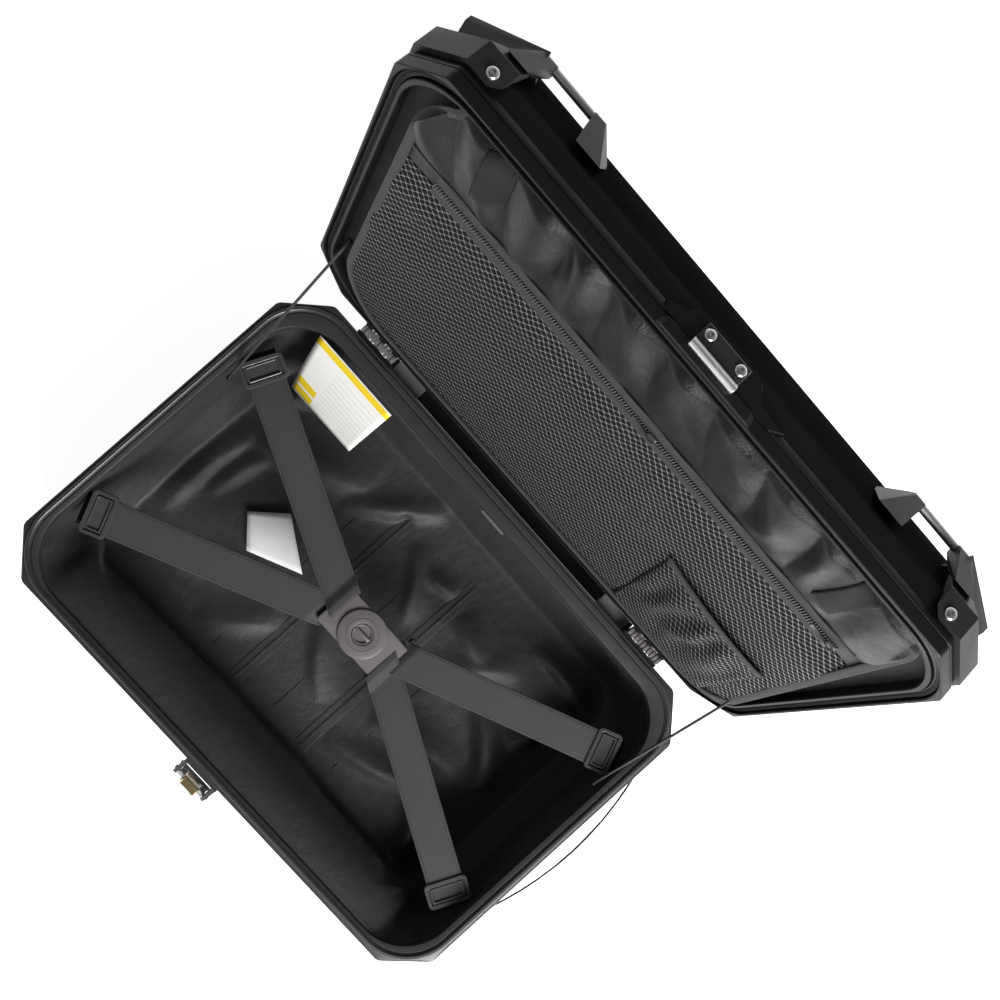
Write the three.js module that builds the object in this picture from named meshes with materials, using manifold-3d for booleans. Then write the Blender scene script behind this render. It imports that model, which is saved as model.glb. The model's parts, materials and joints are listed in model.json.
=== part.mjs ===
// A hard motorcycle case: an octagonal clamshell of two sheet aluminium shells with moulded rim frames,
// lying on its back shell with the lid held open by two stay cords. Millimetres, +Z up, +X along the case,
// +Y towards the hinges. The origin is the centre of the adapter plate's underside.
import * as THREE from "three";
import { ConvexGeometry } from "three/addons/geometries/ConvexGeometry.js";
import { mergeVertices } from "three/addons/utils/BufferGeometryUtils.js";
import Module from "manifold-3d";

const wasm = await Module();
wasm.setup();

// ---- driving dimensions ----
const LENGTH = 600;
const WIDTH = 410;
const CHAMFER = 40; // leg of each cut corner
const RIM_Z = 130; // parting plane above the ground
const LID_HEIGHT = 90; // flat top of the closed lid above the parting plane
const LID_OPEN = 105.8; // degrees
const HINGE_Y = 222.5;
const HINGE_UP = 13.8; // hinge axis above the parting plane
const BASE_WALL = 2;
const LID_WALL = 1.5;
const FOOT_HEIGHT = 3.7;
const GAP = 0.3; // left between neighbouring pieces

const HALF_X = LENGTH / 2;
const HALF_Y = WIDTH / 2;
const SKIN_IN = 3; // sheet metal sits this far inside the rim frames
const BEVEL_BASE = 35; // how far the base's underside is bevelled in
const BEVEL_LID = 49;
const BASE_BEVEL_TOP = 46;
const LID_BEVEL_START = 37;
const FRAME_TOP = 11.5; // depth of the lid's rim frame
const MOUTH = { halfX: 284, halfY: 187, y: -5, radius: 58 }; // inner edge of the base rim
const LID_MOUTH = { halfX: 286, halfY: 193, y: 0, radius: 56 };

const LEVER_OPEN = 136; // degrees from upright
const LATCH_Y = -225;
const LATCH_Z = RIM_Z - 32;
const HOOK_PIN_UP = 9; // hook pin above the lever's pivot, lever closed
const LATCH_HALF = 22;

const WEBBING = 38;
const WEBBING_THICK = 1.6;
const PLATE = { x: 3, y: 5, length: 87, width: 48, thick: 7 };
const STRAP_Z = RIM_Z - 30; // webbing height at the centre plate
const STRAP_RISE = 7; // how much higher it is at the wall
const SLIDER = { long: 27, wide: 46, thick: 6.4 };

const BAR = { y: 174, z: 88, radius: 3.5, from: 181, to: 231 }; // tie-down bars on the lid

const STAY_BASE = { x: 277, y: 79, z: -12 }; // from the parting plane
const STAY_LID = { x: 279, y: 127, z: 12 };
const STAY_DIAMETER = 3;

const HANDLE = { out: 27, halfSpan: 138, y: 13, down: 51, wire: 2.2 }; // bow, reach and place of the handle

// ---- colours ----
const BLACK = 0x17171a;
const finish = {
  shell: { color: BLACK, roughness: 0.45, metalness: 0.6 },
  frame: { color: 0x1d1d1f, roughness: 0.5, metalness: 0 },
  rim: { color: 0x3a3a3e, roughness: 0.45, metalness: 0 },
  rubber: { color: 0x0e0e10, roughness: 0.8, metalness: 0 },
  liner: { color: 0x151416, roughness: 0.9, metalness: 0 },
  webbing: { color: 0x26252a, roughness: 0.85, metalness: 0 },
  buckle: { color: 0x2a292c, roughness: 0.4, metalness: 0 },
  steel: { color: 0xc9cace, roughness: 0.25, metalness: 1 },
  brass: { color: 0xb79a5c, roughness: 0.3, metalness: 1 },
  cover: { color: 0x1a1a1c, roughness: 0.7, metalness: 0 },
  mesh: { color: 0x201f22, roughness: 0.9, metalness: 0 },
  cord: { color: 0x1b1b1d, roughness: 0.6, metalness: 0 },
  paper: { color: 0xf1efe8, roughness: 0.7, metalness: 0 },
};

// ---- making solids ----
const v3 = (x, y, z) => new THREE.Vector3(x, y, z);

function solid(geometry) {
  const bare = geometry.clone();
  for (const name of Object.keys(bare.attributes)) if (name !== "position") bare.deleteAttribute(name);
  const merged = mergeVertices(bare, 1e-4);
  const vertProperties = merged.attributes.position.array;
  const triVerts = new Uint32Array(merged.index.array);
  return new wasm.Manifold(new wasm.Mesh({ numProp: 3, vertProperties, triVerts }));
}

function geometryOf(shape) {
  const mesh = shape.getMesh();
  const geometry = new THREE.BufferGeometry();
  geometry.setAttribute("position", new THREE.BufferAttribute(new Float32Array(mesh.vertProperties), 3));
  geometry.setIndex(new THREE.BufferAttribute(new Uint32Array(mesh.triVerts), 1));
  const flat = geometry.toNonIndexed();
  flat.computeVertexNormals();
  return flat;
}

const hull = (points) => solid(new ConvexGeometry(points));
const union = (...shapes) => shapes.reduce((sum, next) => sum.add(next));
const less = (shape, ...cuts) => cuts.reduce((rest, cut) => rest.subtract(cut), shape);

function box(x0, x1, y0, y1, z0, z1) {
  const geometry = new THREE.BoxGeometry(x1 - x0, y1 - y0, z1 - z0);
  return solid(geometry.translate((x0 + x1) / 2, (y0 + y1) / 2, (z0 + z1) / 2));
}

// A rod along X between x0 and x1.
function rodX(radius, x0, x1, y, z, sides = 20) {
  const geometry = new THREE.CylinderGeometry(radius, radius, x1 - x0, sides);
  return solid(geometry.rotateZ(Math.PI / 2).translate((x0 + x1) / 2, y, z));
}

function rodY(radius, y0, y1, x, z, sides = 20) {
  const geometry = new THREE.CylinderGeometry(radius, radius, y1 - y0, sides);
  return solid(geometry.translate(x, (y0 + y1) / 2, z));
}

function rodZ(radius, z0, z1, x, y, sides = 24) {
  const geometry = new THREE.CylinderGeometry(radius, radius, z1 - z0, sides);
  return solid(geometry.rotateX(Math.PI / 2).translate(x, y, (z0 + z1) / 2));
}

function circlePoints(radius, y, z, x0, x1, count = 16) {
  const points = [];
  for (let i = 0; i < count; i++) {
    const a = (2 * Math.PI * i) / count;
    for (const x of [x0, x1]) points.push(v3(x, y + radius * Math.cos(a), z + radius * Math.sin(a)));
  }
  return points;
}

const boxPoints = (x0, x1, y0, y1, z0, z1) =>
  [x0, x1].flatMap((x) => [y0, y1].flatMap((y) => [z0, z1].map((z) => v3(x, y, z))));

// Corners of the case's octagon, `inset` inside the rim frames' outline, at height z.
function octagon(inset, z) {
  const hx = HALF_X - inset;
  const hy = HALF_Y - inset;
  const leg = CHAMFER - inset * (2 - Math.SQRT2);
  const points = [];
  for (const sx of [-1, 1])
    for (const sy of [-1, 1]) {
      points.push(v3(sx * hx, sy * (hy - leg), z));
      points.push(v3(sx * (hx - leg), sy * hy, z));
    }
  return points;
}

const octagonSolid = (...sections) => hull(sections.flatMap(([inset, z]) => octagon(inset, z)));

// A rounded rectangle with its long sides along X, extruded from z0 to z1.
function roundedSlab({ halfX, halfY, y = 0, radius }, z0, z1, grow = 0) {
  const hx = halfX + grow;
  const hy = halfY + grow;
  const r = radius + grow;
  const shape = new THREE.Shape();
  shape.moveTo(hx - r, y - hy).absarc(hx - r, y - hy + r, r, -Math.PI / 2, 0);
  shape.absarc(hx - r, y + hy - r, r, 0, Math.PI / 2);
  shape.absarc(-hx + r, y + hy - r, r, Math.PI / 2, Math.PI);
  shape.absarc(-hx + r, y - hy + r, r, Math.PI, 1.5 * Math.PI);
  shape.closePath();
  const options = { depth: z1 - z0, bevelEnabled: false, curveSegments: 8 };
  return solid(new THREE.ExtrudeGeometry(shape, options).translate(0, 0, z0));
}

// ---- the assembly ----
const assembly = new THREE.Group();
const lidFrame = new THREE.Group(); // lid pieces, in coordinates of the closed lid above the parting plane
const lidHinge = new THREE.Group();
lidHinge.position.set(0, HINGE_Y, RIM_Z + HINGE_UP);
lidHinge.rotation.x = THREE.MathUtils.degToRad(-LID_OPEN);
lidFrame.position.set(0, -HINGE_Y, -HINGE_UP);
lidHinge.add(lidFrame);
assembly.add(lidHinge);

function place(name, shape, look, parent = assembly) {
  const geometry = shape.isBufferGeometry ? shape : geometryOf(shape);
  const mesh = new THREE.Mesh(geometry, new THREE.MeshStandardMaterial(finish[look]));
  mesh.name = name;
  parent.add(mesh);
  return mesh;
}

const SIDES = [
  ["left", -1],
  ["right", 1],
];
const CORNERS = [
  ["front_left", -1, -1],
  ["front_right", 1, -1],
  ["rear_left", -1, 1],
  ["rear_right", 1, 1],
];

// ---- base: shell, rim frame, lining, feet ----
const baseOuter = octagonSolid([SKIN_IN + BEVEL_BASE, 4], [SKIN_IN, BASE_BEVEL_TOP], [SKIN_IN, 118]);
function addBase() {
  const inner = SKIN_IN + BASE_WALL;
  const hollow = octagonSolid(
    [inner + BEVEL_BASE, 4 + BASE_WALL],
    [inner, BASE_BEVEL_TOP + 1],
    [inner, 119],
  );
  place("base_shell", less(baseOuter, hollow), "shell");

  const insideSkirt = octagonSolid([SKIN_IN - GAP, 109], [SKIN_IN - GAP, 119]);
  const skirt = less(octagonSolid([0, 110], [0, 118.4]), insideSkirt);
  const ledge = less(octagonSolid([0, 118.3], [0, 127.3]), roundedSlab(MOUTH, 110, 131));
  const lipOuter = { halfX: 296, halfY: 200.5, radius: 60 };
  const lipInner = { halfX: 291, halfY: 195.5, radius: 55 };
  const tongue = less(roundedSlab(lipOuter, 127, RIM_Z), roundedSlab(lipInner, 126, 131));
  const innerSkirt = less(roundedSlab(MOUTH, 112.5, 118.4, 2), roundedSlab(MOUTH, 112, 119));
  place("base_rim", union(ledge, skirt, tongue, innerSkirt), "rim");

  const tub = (grow, z0) => {
    const floor = { halfX: 256, halfY: 160, radius: 40 };
    const wall = { halfX: 290, halfY: 195, radius: 52 };
    const points = [];
    for (const [shape, z] of [
      [floor, z0],
      [wall, 50],
      [wall, 112],
    ]) {
      const mesh = roundedSlab(shape, z - 0.01, z, grow).getMesh();
      for (let i = 0; i < mesh.vertProperties.length; i += 3)
        points.push(v3(mesh.vertProperties[i], mesh.vertProperties[i + 1], z));
    }
    return hull(points);
  };
  const top = box(-400, 400, -400, 400, 111.9, 200);
  place("base_liner", less(tub(0, 6.5), tub(-2, 8.5), top), "liner");

  place("adapter_plate", box(-120, 120, -80, 80, 0, FOOT_HEIGHT), "frame");
  for (const [name, side] of [
    ["front", -1],
    ["rear", 1],
  ]) {
    const strip = { halfX: 236, halfY: 9, y: side * 150, radius: 8.9 };
    place("foot_" + name, roundedSlab(strip, 0, FOOT_HEIGHT), "rubber");
  }
}

// ---- cross straps, their slide buckles and the centre plate ----
function addStraps() {
  const plateTop = STRAP_Z + PLATE.thick / 2;
  const plateHalf = PLATE.length / 2;
  const body = box(
    PLATE.x - plateHalf,
    PLATE.x + plateHalf,
    PLATE.y - PLATE.width / 2,
    PLATE.y + PLATE.width / 2,
    STRAP_Z - PLATE.thick / 2,
    plateTop,
  );
  const boss = rodZ(26, plateTop - 1, plateTop + 3, PLATE.x, PLATE.y, 32);
  const well = rodZ(11.3, plateTop - 2, plateTop + 9, PLATE.x, PLATE.y, 24);
  place("cross_plate", less(union(body, boss), well), "buckle");
  const grip = box(PLATE.x - 10, PLATE.x + 10, PLATE.y - 1.6, PLATE.y + 1.6, plateTop, plateTop + 4);
  const knob = rodZ(11, plateTop - 1.7, plateTop + 1, PLATE.x, PLATE.y, 24);
  place("release_knob", union(knob, grip), "buckle");

  for (const [name, sx, sy] of CORNERS) {
    const start = v3(PLATE.x + sx * (plateHalf + 11), PLATE.y + sy * 16, STRAP_Z + (sy > 0 ? 1.2 : -1.2));
    const end = v3(sx * 282, sy * 118, start.z + STRAP_RISE);
    const run = end.clone().sub(start);
    const turned = new THREE.Group();
    turned.position.copy(start);
    turned.rotation.order = "ZYX";
    turned.rotation.z = Math.atan2(run.y, run.x);
    turned.rotation.y = -Math.asin(run.z / run.length());
    assembly.add(turned);
    const half = WEBBING / 2;
    const length = run.length();
    const webbing = box(0, length - 9, -half, half, -WEBBING_THICK / 2, WEBBING_THICK / 2);
    place("strap_" + name, webbing, "webbing", turned);

    const near = length - 36; // near end of the buckle, on the webbing
    const { long, wide, thick } = SLIDER;
    const frame = box(near, near + long, -wide / 2, wide / 2, -thick / 2, thick / 2);
    const channel = box(near - 1, near + long + 1, -half - 0.6, half + 0.6, -1.2, 1.2);
    const windows = box(near + 7, near + long - 4, -half + 2, half - 2, 0, thick);
    place("slider_" + name, less(frame, channel, windows), "buckle", turned);
  }
}

// ---- floor zips and their pullers ----
const FLOOR_Z = 8.5;
function addFloorZips() {
  for (const [name, x, pullerY] of [
    ["left", -50, -12],
    ["right", 53, 10],
  ]) {
    place("floor_zip_" + name, box(x - 7, x + 7, -135, 125, FLOOR_Z + GAP, FLOOR_Z + 1.7), "webbing");
    const slider = box(x - 4, x + 4, pullerY - 6, pullerY + 6, FLOOR_Z + 2, FLOOR_Z + 5);
    const tab = box(x - 2.5, x + 2.5, pullerY + 5, pullerY + 27, FLOOR_Z + 3.2, FLOOR_Z + 4.8);
    place("floor_puller_" + name, union(slider, tab), "buckle");
  }
}

// ---- hinges: three knuckles on the base and two on the lid, on a loose pin ----
function addHinges() {
  const barrel = 6;
  const bore = 3;
  const bead = { radius: 4.6, y: HALF_Y + 8, z: RIM_Z + 1.4 }; // fills the slot between the rims
  const leafIn = HALF_Y + GAP;
  const leafOut = leafIn + 3;
  const knuckles = [0, 9.2, 18.4, 27.6, 36.8];
  const knuckle = 9.2 - GAP;
  for (const [name, side] of SIDES) {
    const from = side > 0 ? 180 : -226;
    const hole = (y, z) => rodX(bore, from - 5, from + 51, y, z);
    const to = from + knuckles.length * 9.2;
    const pad = side > 0 ? [from - 38, from - 1] : [to + 1, to + 38];
    const leaf = boxPoints(from, to, leafIn, leafOut, RIM_Z - 20, RIM_Z - 7);
    const base = [
      box(from - 2, to + 2, leafIn, leafOut, RIM_Z - 24, RIM_Z - 4),
      box(...pad, leafIn, leafIn + 11.5, RIM_Z - 25, RIM_Z - 16.5),
      hull([...leaf, ...circlePoints(bead.radius, bead.y, bead.z, from, to)]),
    ];
    const lid = [box(from - 2, to + 2, leafIn, leafOut, 8, 28)];
    knuckles.forEach((offset, i) => {
      const x0 = from + offset;
      const x1 = x0 + knuckle;
      if (i % 2 === 0) {
        const foot = boxPoints(x0, x1, leafIn, leafOut, RIM_Z - 20, RIM_Z - 7);
        base.push(hull([...foot, ...circlePoints(barrel, HINGE_Y, RIM_Z + HINGE_UP, x0, x1)]));
      } else {
        const foot = boxPoints(x0, x1, leafIn, leafOut, 12, 25);
        lid.push(hull([...foot, ...circlePoints(barrel, HINGE_Y, HINGE_UP, x0, x1)]));
      }
    });
    place(`hinge_${name}_base`, less(union(...base), hole(HINGE_Y, RIM_Z + HINGE_UP)), "frame");
    place(`hinge_${name}_lid`, less(union(...lid), hole(HINGE_Y, HINGE_UP)), "frame", lidFrame);
    const pin = rodX(bore - GAP, from - 1, from + 46.7, HINGE_Y, RIM_Z + HINGE_UP);
    place(`hinge_${name}_pin`, pin, "steel");
  }
}

// ---- latch: housing on the base, lever with its hook and lock ----
function addLatch() {
  const front = -HALF_Y - GAP;
  const cheek = (x0, x1) =>
    hull([
      ...boxPoints(x0, x1, front - 3, front - 2, RIM_Z - 30, RIM_Z - 8),
      ...circlePoints(5, LATCH_Y, LATCH_Z, x0, x1),
    ]);
  const back = box(-LATCH_HALF, LATCH_HALF, front - 3, front, RIM_Z - 56, RIM_Z - 5);
  const bore = rodX(2.5, -30, 30, LATCH_Y, LATCH_Z);
  const housing = union(back, cheek(-LATCH_HALF, -18), cheek(18, LATCH_HALF));
  place("latch_housing", less(housing, bore), "frame");

  const lever = new THREE.Group(); // turned from the upright, closed attitude
  lever.position.set(0, LATCH_Y, LATCH_Z);
  lever.rotation.x = THREE.MathUtils.degToRad(LEVER_OPEN);
  assembly.add(lever);
  const plateIn = -6.8;
  const plateOut = -11;
  const tip = 36;
  const corners = boxPoints(-20, 20, plateOut, plateIn, tip - 1, tip);
  const half = LATCH_HALF + 1;
  const plate = hull([...boxPoints(-half, half, plateOut, plateIn, 0, tip - 5), ...corners]);
  const lug = (x0, x1) =>
    hull([
      ...circlePoints(4.5, 0, 0, x0, x1),
      ...circlePoints(4, 0, HOOK_PIN_UP, x0, x1),
      ...boxPoints(x0, x1, plateIn - 1, plateIn, 1, 14),
    ]);
  const boss = box(-11, 11, plateIn - 1, -1.5, 14, 31);
  const lockBore = rodY(6.3, -20, 5, 0, 22.5, 24);
  const pinBores = union(rodX(2.5, -30, 30, 0, 0), rodX(2, -30, 30, 0, HOOK_PIN_UP));
  const leverBody = less(union(plate, lug(-17, -10.5), lug(10.5, 17), boss), lockBore, pinBores);
  place("latch_lever", leverBody, "steel", lever);
  for (const [name, side] of SIDES) {
    const ends = [side * 10.5, side * 23.5].sort((a, b) => a - b);
    place("latch_pin_" + name, rodX(2.2, ...ends, LATCH_Y, LATCH_Z), "steel");
  }
  place("hook_pin", rodX(1.7, -17, 17, 0, HOOK_PIN_UP), "steel", lever);
  const keyway = box(-1, 1, -20, -10.4, 19, 26);
  place("lock_cylinder", less(rodY(6, -11.6, -1.8, 0, 22.5, 24), keyway), "steel", lever);

  const open = THREE.MathUtils.degToRad(LEVER_OPEN);
  const hook = new THREE.Group();
  hook.position.set(0, LATCH_Y - HOOK_PIN_UP * Math.sin(open), LATCH_Z + HOOK_PIN_UP * Math.cos(open));
  assembly.add(hook);
  const reach = 7; // the hook's leg stands this far in from its pin
  const leg = [
    hull([...circlePoints(3.6, 0, 0, -9, 9, 12), ...boxPoints(-9, 9, reach - 1.2, reach + 1.2, 13, 14)]),
    box(-9, 9, reach - 1.2, reach + 1.2, 12, 39),
    box(-9, 9, reach - 1.2, reach + 6, 36.5, 39),
  ];
  place("latch_hook", less(union(...leg), rodX(2, -12, 12, 0, 0)), "brass", hook);
}

// ---- lid: shell, frame, seal, corner caps, tie-down bars, striker ----
const lidOuter = (grow) =>
  octagonSolid(
    [SKIN_IN - grow, FRAME_TOP + GAP - 5 * grow],
    [SKIN_IN - grow, LID_BEVEL_START + 0.4 * grow],
    [SKIN_IN + BEVEL_LID - 0.4 * grow, LID_HEIGHT + grow],
  );

function addLid() {
  const inner = SKIN_IN + LID_WALL;
  const top = LID_HEIGHT - LID_WALL;
  const hollow = octagonSolid(
    [inner, FRAME_TOP - 5],
    [inner, LID_BEVEL_START - LID_WALL / 2],
    [inner + BEVEL_LID, top],
  );
  place("lid_shell", less(lidOuter(0), hollow), "shell", lidFrame);

  const seat = { halfX: 297, halfY: 201.5, radius: 60 };
  const seatInner = { halfX: 289.5, halfY: 196, radius: 55 };
  const groove = less(roundedSlab(seat, -1, 6), roundedSlab(seatInner, -2, 7));
  const ring = less(octagonSolid([0, GAP], [0, FRAME_TOP]), roundedSlab(LID_MOUTH, -1, 20), groove);
  const bump = hull([
    ...boxPoints(-50, 50, -HALF_Y - 0.5, -HALF_Y + 1, 1, 11),
    ...boxPoints(-42, 42, -HALF_Y - 3, -HALF_Y - 2.7, 2, 11),
  ]);
  place("lid_frame", union(ring, bump), "frame", lidFrame);
  const gasket = less(roundedSlab(seat, 3.4, 5.7, -GAP), roundedSlab(seatInner, 3, 6, GAP));
  place("lid_seal", gasket, "rubber", lidFrame);

  addCorners();
  addStriker();
  addPanel();
}

// The pieces of one corner are made for +X, -Y quadrant values u, v and mirrored by their signs.
function addCorners() {
  const proud = 2; // the caps' faces stand this far outside the rim frame
  const faceX = HALF_X + proud;
  const faceY = HALF_Y + proud;
  const bevelIn = 28;
  const bevelUp = 30;
  const low = 20; // the cap's lower edge, its bend and its two ends
  const mid = 43;
  const end = 232;
  const sideEnd = 139;
  const postIn = 226;
  const crest = 94; // top of the posts
  for (const [name, sx, sy] of CORNERS) {
    const at = (u, v, z) => v3(sx * u, sy * v, z);
    const facets = [
      at(end, faceY, low + 5),
      at(end + 5, faceY, low),
      at(end, faceY, mid),
      at(faceX - CHAMFER, faceY, low),
      at(faceX, faceY - CHAMFER, low),
      at(faceX - CHAMFER, faceY, mid),
      at(faceX, faceY - CHAMFER, mid),
      at(faceX, sideEnd, low),
      at(faceX, sideEnd - 4, low + 10),
      at(faceX, sideEnd, mid),
      at(end, faceY - bevelIn, mid + bevelUp),
      at(faceX - CHAMFER - 12, faceY - bevelIn, mid + bevelUp),
      at(faceX - bevelIn, faceY - CHAMFER - 12, mid + bevelUp),
      at(faceX - bevelIn, sideEnd, mid + bevelUp),
    ];
    const fin = hull([
      ...[at(302, sideEnd, 88), at(302, sideEnd, 82), at(298, sideEnd, 70), at(286, sideEnd, 70)],
      ...[at(236, 186, 88), at(236, 184, 80), at(232, 184, 70), at(228, 172, 70)],
    ]);
    // the post's head around the bar, and its foot on the bevel
    const head = (u) => [at(u, 184, 85), at(u, 181, BAR.z), at(u, 168, crest), at(u, 168, 84)];
    const frontPost = hull([
      ...[end - 1, end + 20].flatMap((u) => [at(u, 205, 50), at(u, 180, 66)]),
      ...[postIn, postIn + 14].flatMap(head),
    ]);
    const cap = less(union(hull(facets), frontPost, fin), lidOuter(GAP));
    const span = (from, to) => [Math.min(sx * from, sx * to), Math.max(sx * from, sx * to)];
    const barHole = rodX(BAR.radius + GAP, ...span(BAR.from - 1, BAR.to + 1), sy * BAR.y, BAR.z);
    place("corner_cap_" + name, less(cap, barHole), "cover", lidFrame);

    const post = hull([
      ...[151, 176].flatMap((u) => [at(u, 203, 46), at(u, 166, 74)]),
      ...[174, 185].flatMap(head),
    ]);
    place("tie_post_" + name, less(post, lidOuter(GAP), barHole), "cover", lidFrame);
    const bar = rodX(BAR.radius, ...span(BAR.from, BAR.to), sy * BAR.y, BAR.z);
    place("tie_bar_" + name, bar, "steel", lidFrame);
  }
}

function addStriker() {
  const y = -HALF_Y - 3 - GAP;
  const plate = box(-22.5, 22.5, y - 1.5, y, 6, 14.5);
  const lip = rodX(3.2, -22.5, 22.5, y - 3.3, 8.5, 16);
  place("striker", union(plate, lip), "steel", lidFrame);
  const screwX = 16;
  const screwZ = 23.5;
  const coverBody = hull([
    ...boxPoints(-22.5, 22.5, y, -HALF_Y + SKIN_IN - GAP, 15, 31),
    ...boxPoints(-21, 21, y - 1.8, y, 15, 29.5),
  ]);
  const bores = [-screwX, screwX].map((x) => rodY(5.1, y - 5, y - 0.4, x, screwZ));
  place("striker_cover", less(coverBody, ...bores), "cover", lidFrame);
}

// The organiser panel across the lid's mouth, its zip and its mesh pocket.
function addPanel() {
  const panel = { halfX: 273, halfY: 188, y: 2, radius: 52 };
  place("lid_panel", roundedSlab(panel, 3, 9), "liner", lidFrame);
  place("lid_zip", box(-232, 240, -98, -84, 1, 2.7), "webbing", lidFrame);
  for (const [name, x] of [
    ["left", 19],
    ["right", 234],
  ]) {
    const slider = box(x - 6, x + 6, -95, -87, -2.4, 0.7);
    const tab = box(x - 24, x - 5, -93.5, -88.5, -2.2, -0.4);
    place("lid_puller_" + name, union(slider, tab), "buckle", lidFrame);
  }
  const pocket = [
    [120, 2],
    [258, 48],
    [254, 162],
    [140, 176],
  ].flatMap(([x, y]) => [v3(x, y, -3), v3(x, y, 2.7)]);
  place("mesh_pocket", hull(pocket), "mesh", lidFrame);
}

// ---- stay cords: one each side, taut between an eye on the base and one on the lid ----
function addStays() {
  const hingeAngle = THREE.MathUtils.degToRad(-LID_OPEN);
  for (const [name, side] of SIDES) {
    const low = v3(side * STAY_BASE.x, STAY_BASE.y, RIM_Z + STAY_BASE.z);
    const closed = v3(side * STAY_LID.x, STAY_LID.y - HINGE_Y, STAY_LID.z - HINGE_UP);
    const high = closed.applyAxisAngle(v3(1, 0, 0), hingeAngle).add(v3(0, HINGE_Y, RIM_Z + HINGE_UP));
    const run = high.clone().sub(low).normalize();
    const start = low.clone().addScaledVector(run, 6);
    const finishAt = high.clone().addScaledVector(run, -6);
    const path = new THREE.CatmullRomCurve3([start, start.clone().lerp(finishAt, 0.5), finishAt]);
    const section = new THREE.Shape().absarc(0, 0, STAY_DIAMETER / 2, 0, 2 * Math.PI);
    const options = { steps: 24, extrudePath: path, curveSegments: 4 };
    place("stay_cord_" + name, solid(new THREE.ExtrudeGeometry(section, options)), "cord");
  }
}

// ---- handle on the right end: a slim coated wire loop bowed out from the wall ----
function addHandle() {
  const crown = HALF_X + HANDLE.out;
  const { halfSpan } = HANDLE;
  const z = RIM_Z - HANDLE.down;
  const wall = HALF_X - SKIN_IN + GAP;
  const root = wall + 1.9; // the wire's own centreline where it meets its eyes
  const bow = (y) => crown - (crown - root) * (y / halfSpan) ** 2;
  const along = [-6, -5, -4, -3, -2, -1, 0, 1, 2, 3, 4, 5, 6].map((step) => (step / 6) * halfSpan);
  const points = along.map((y) => v3(bow(y), HANDLE.y + y, z));
  const section = new THREE.Shape().absarc(0, 0, HANDLE.wire / 2, 0, 2 * Math.PI);
  const options = { steps: 36, extrudePath: new THREE.CatmullRomCurve3(points), curveSegments: 5 };
  const eye = (side) => {
    const y = HANDLE.y + side * halfSpan;
    return hull([
      ...boxPoints(wall, wall + 2, y - 7, y + 7, z - 6, z + 6),
      ...boxPoints(wall, wall + 3.5, y - 4, y + 4, z - 3, z + 3),
    ]);
  };
  const loop = solid(new THREE.ExtrudeGeometry(section, options));
  place("side_handle", union(loop, eye(-1), eye(1)), "rubber");
}

// ---- foot on the hinge side, for standing the closed case up: it stands further out than the hinges ----
function addStandFoot() {
  const wall = HALF_Y - SKIN_IN + GAP;
  const out = HALF_Y + 25;
  const low = RIM_Z - 80;
  const top = RIM_Z - 64;
  const outline = [
    [-140, wall],
    [140, wall],
    [174, out],
    [-174, out],
  ];
  place("stand_foot", hull(outline.flatMap(([x, y]) => [v3(x, y, low), v3(x, y, top)])), "rubber");
}

// ---- paper card leaning on the hinge-side lining ----
function addCard() {
  const top = RIM_Z - 10;
  const low = RIM_Z - 78;
  const corners = [
    [-249, 176, top],
    [-143, 176, top],
    [-148, 121, low],
    [-238, 121, low],
  ];
  const card = corners.flatMap(([x, y, z]) => [v3(x, y, z), v3(x, y + 0.5, z + 0.4)]);
  place("label_card", hull(card), "paper");
}

addBase();
addStraps();
addFloorZips();
addHinges();
addLatch();
addLid();
addStays();
addHandle();
addStandFoot();
addCard();

export default assembly;
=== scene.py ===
import json
import math

import bmesh
import bpy
import numpy as np
from mathutils import Matrix, Quaternion, Vector, noise

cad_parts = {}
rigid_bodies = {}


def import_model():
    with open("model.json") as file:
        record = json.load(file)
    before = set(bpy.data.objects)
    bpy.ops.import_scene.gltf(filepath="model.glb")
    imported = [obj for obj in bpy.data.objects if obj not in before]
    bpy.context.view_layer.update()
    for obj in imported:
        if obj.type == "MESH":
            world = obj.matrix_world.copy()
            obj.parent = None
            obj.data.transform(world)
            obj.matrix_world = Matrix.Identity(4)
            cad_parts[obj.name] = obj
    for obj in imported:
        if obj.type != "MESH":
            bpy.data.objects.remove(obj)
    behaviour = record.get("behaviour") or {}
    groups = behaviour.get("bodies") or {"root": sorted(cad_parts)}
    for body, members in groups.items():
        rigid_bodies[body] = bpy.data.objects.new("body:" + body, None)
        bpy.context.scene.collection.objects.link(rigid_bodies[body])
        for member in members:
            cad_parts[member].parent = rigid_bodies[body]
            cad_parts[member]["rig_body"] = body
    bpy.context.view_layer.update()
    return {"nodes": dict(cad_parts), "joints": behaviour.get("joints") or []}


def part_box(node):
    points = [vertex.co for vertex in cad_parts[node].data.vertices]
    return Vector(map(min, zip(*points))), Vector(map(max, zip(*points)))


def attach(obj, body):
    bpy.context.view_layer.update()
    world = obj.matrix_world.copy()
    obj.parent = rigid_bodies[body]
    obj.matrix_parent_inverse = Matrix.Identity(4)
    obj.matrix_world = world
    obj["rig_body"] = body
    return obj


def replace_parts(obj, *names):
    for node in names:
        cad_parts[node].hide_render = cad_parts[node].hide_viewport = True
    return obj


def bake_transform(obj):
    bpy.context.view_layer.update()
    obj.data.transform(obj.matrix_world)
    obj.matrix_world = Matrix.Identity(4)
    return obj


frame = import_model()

# An open hard motorcycle case: octagonal base lying on its back, lid propped open by two stay cords.
# Lengths in the piece code are millimetres; `make` turns them into metres.
MM = 0.001
BASE = Matrix.Identity(4)


# ---- sizes read from the frame ----
def box_mm(node):
    low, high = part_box(node)
    return np.array(low) / MM, np.array(high) / MM


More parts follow.
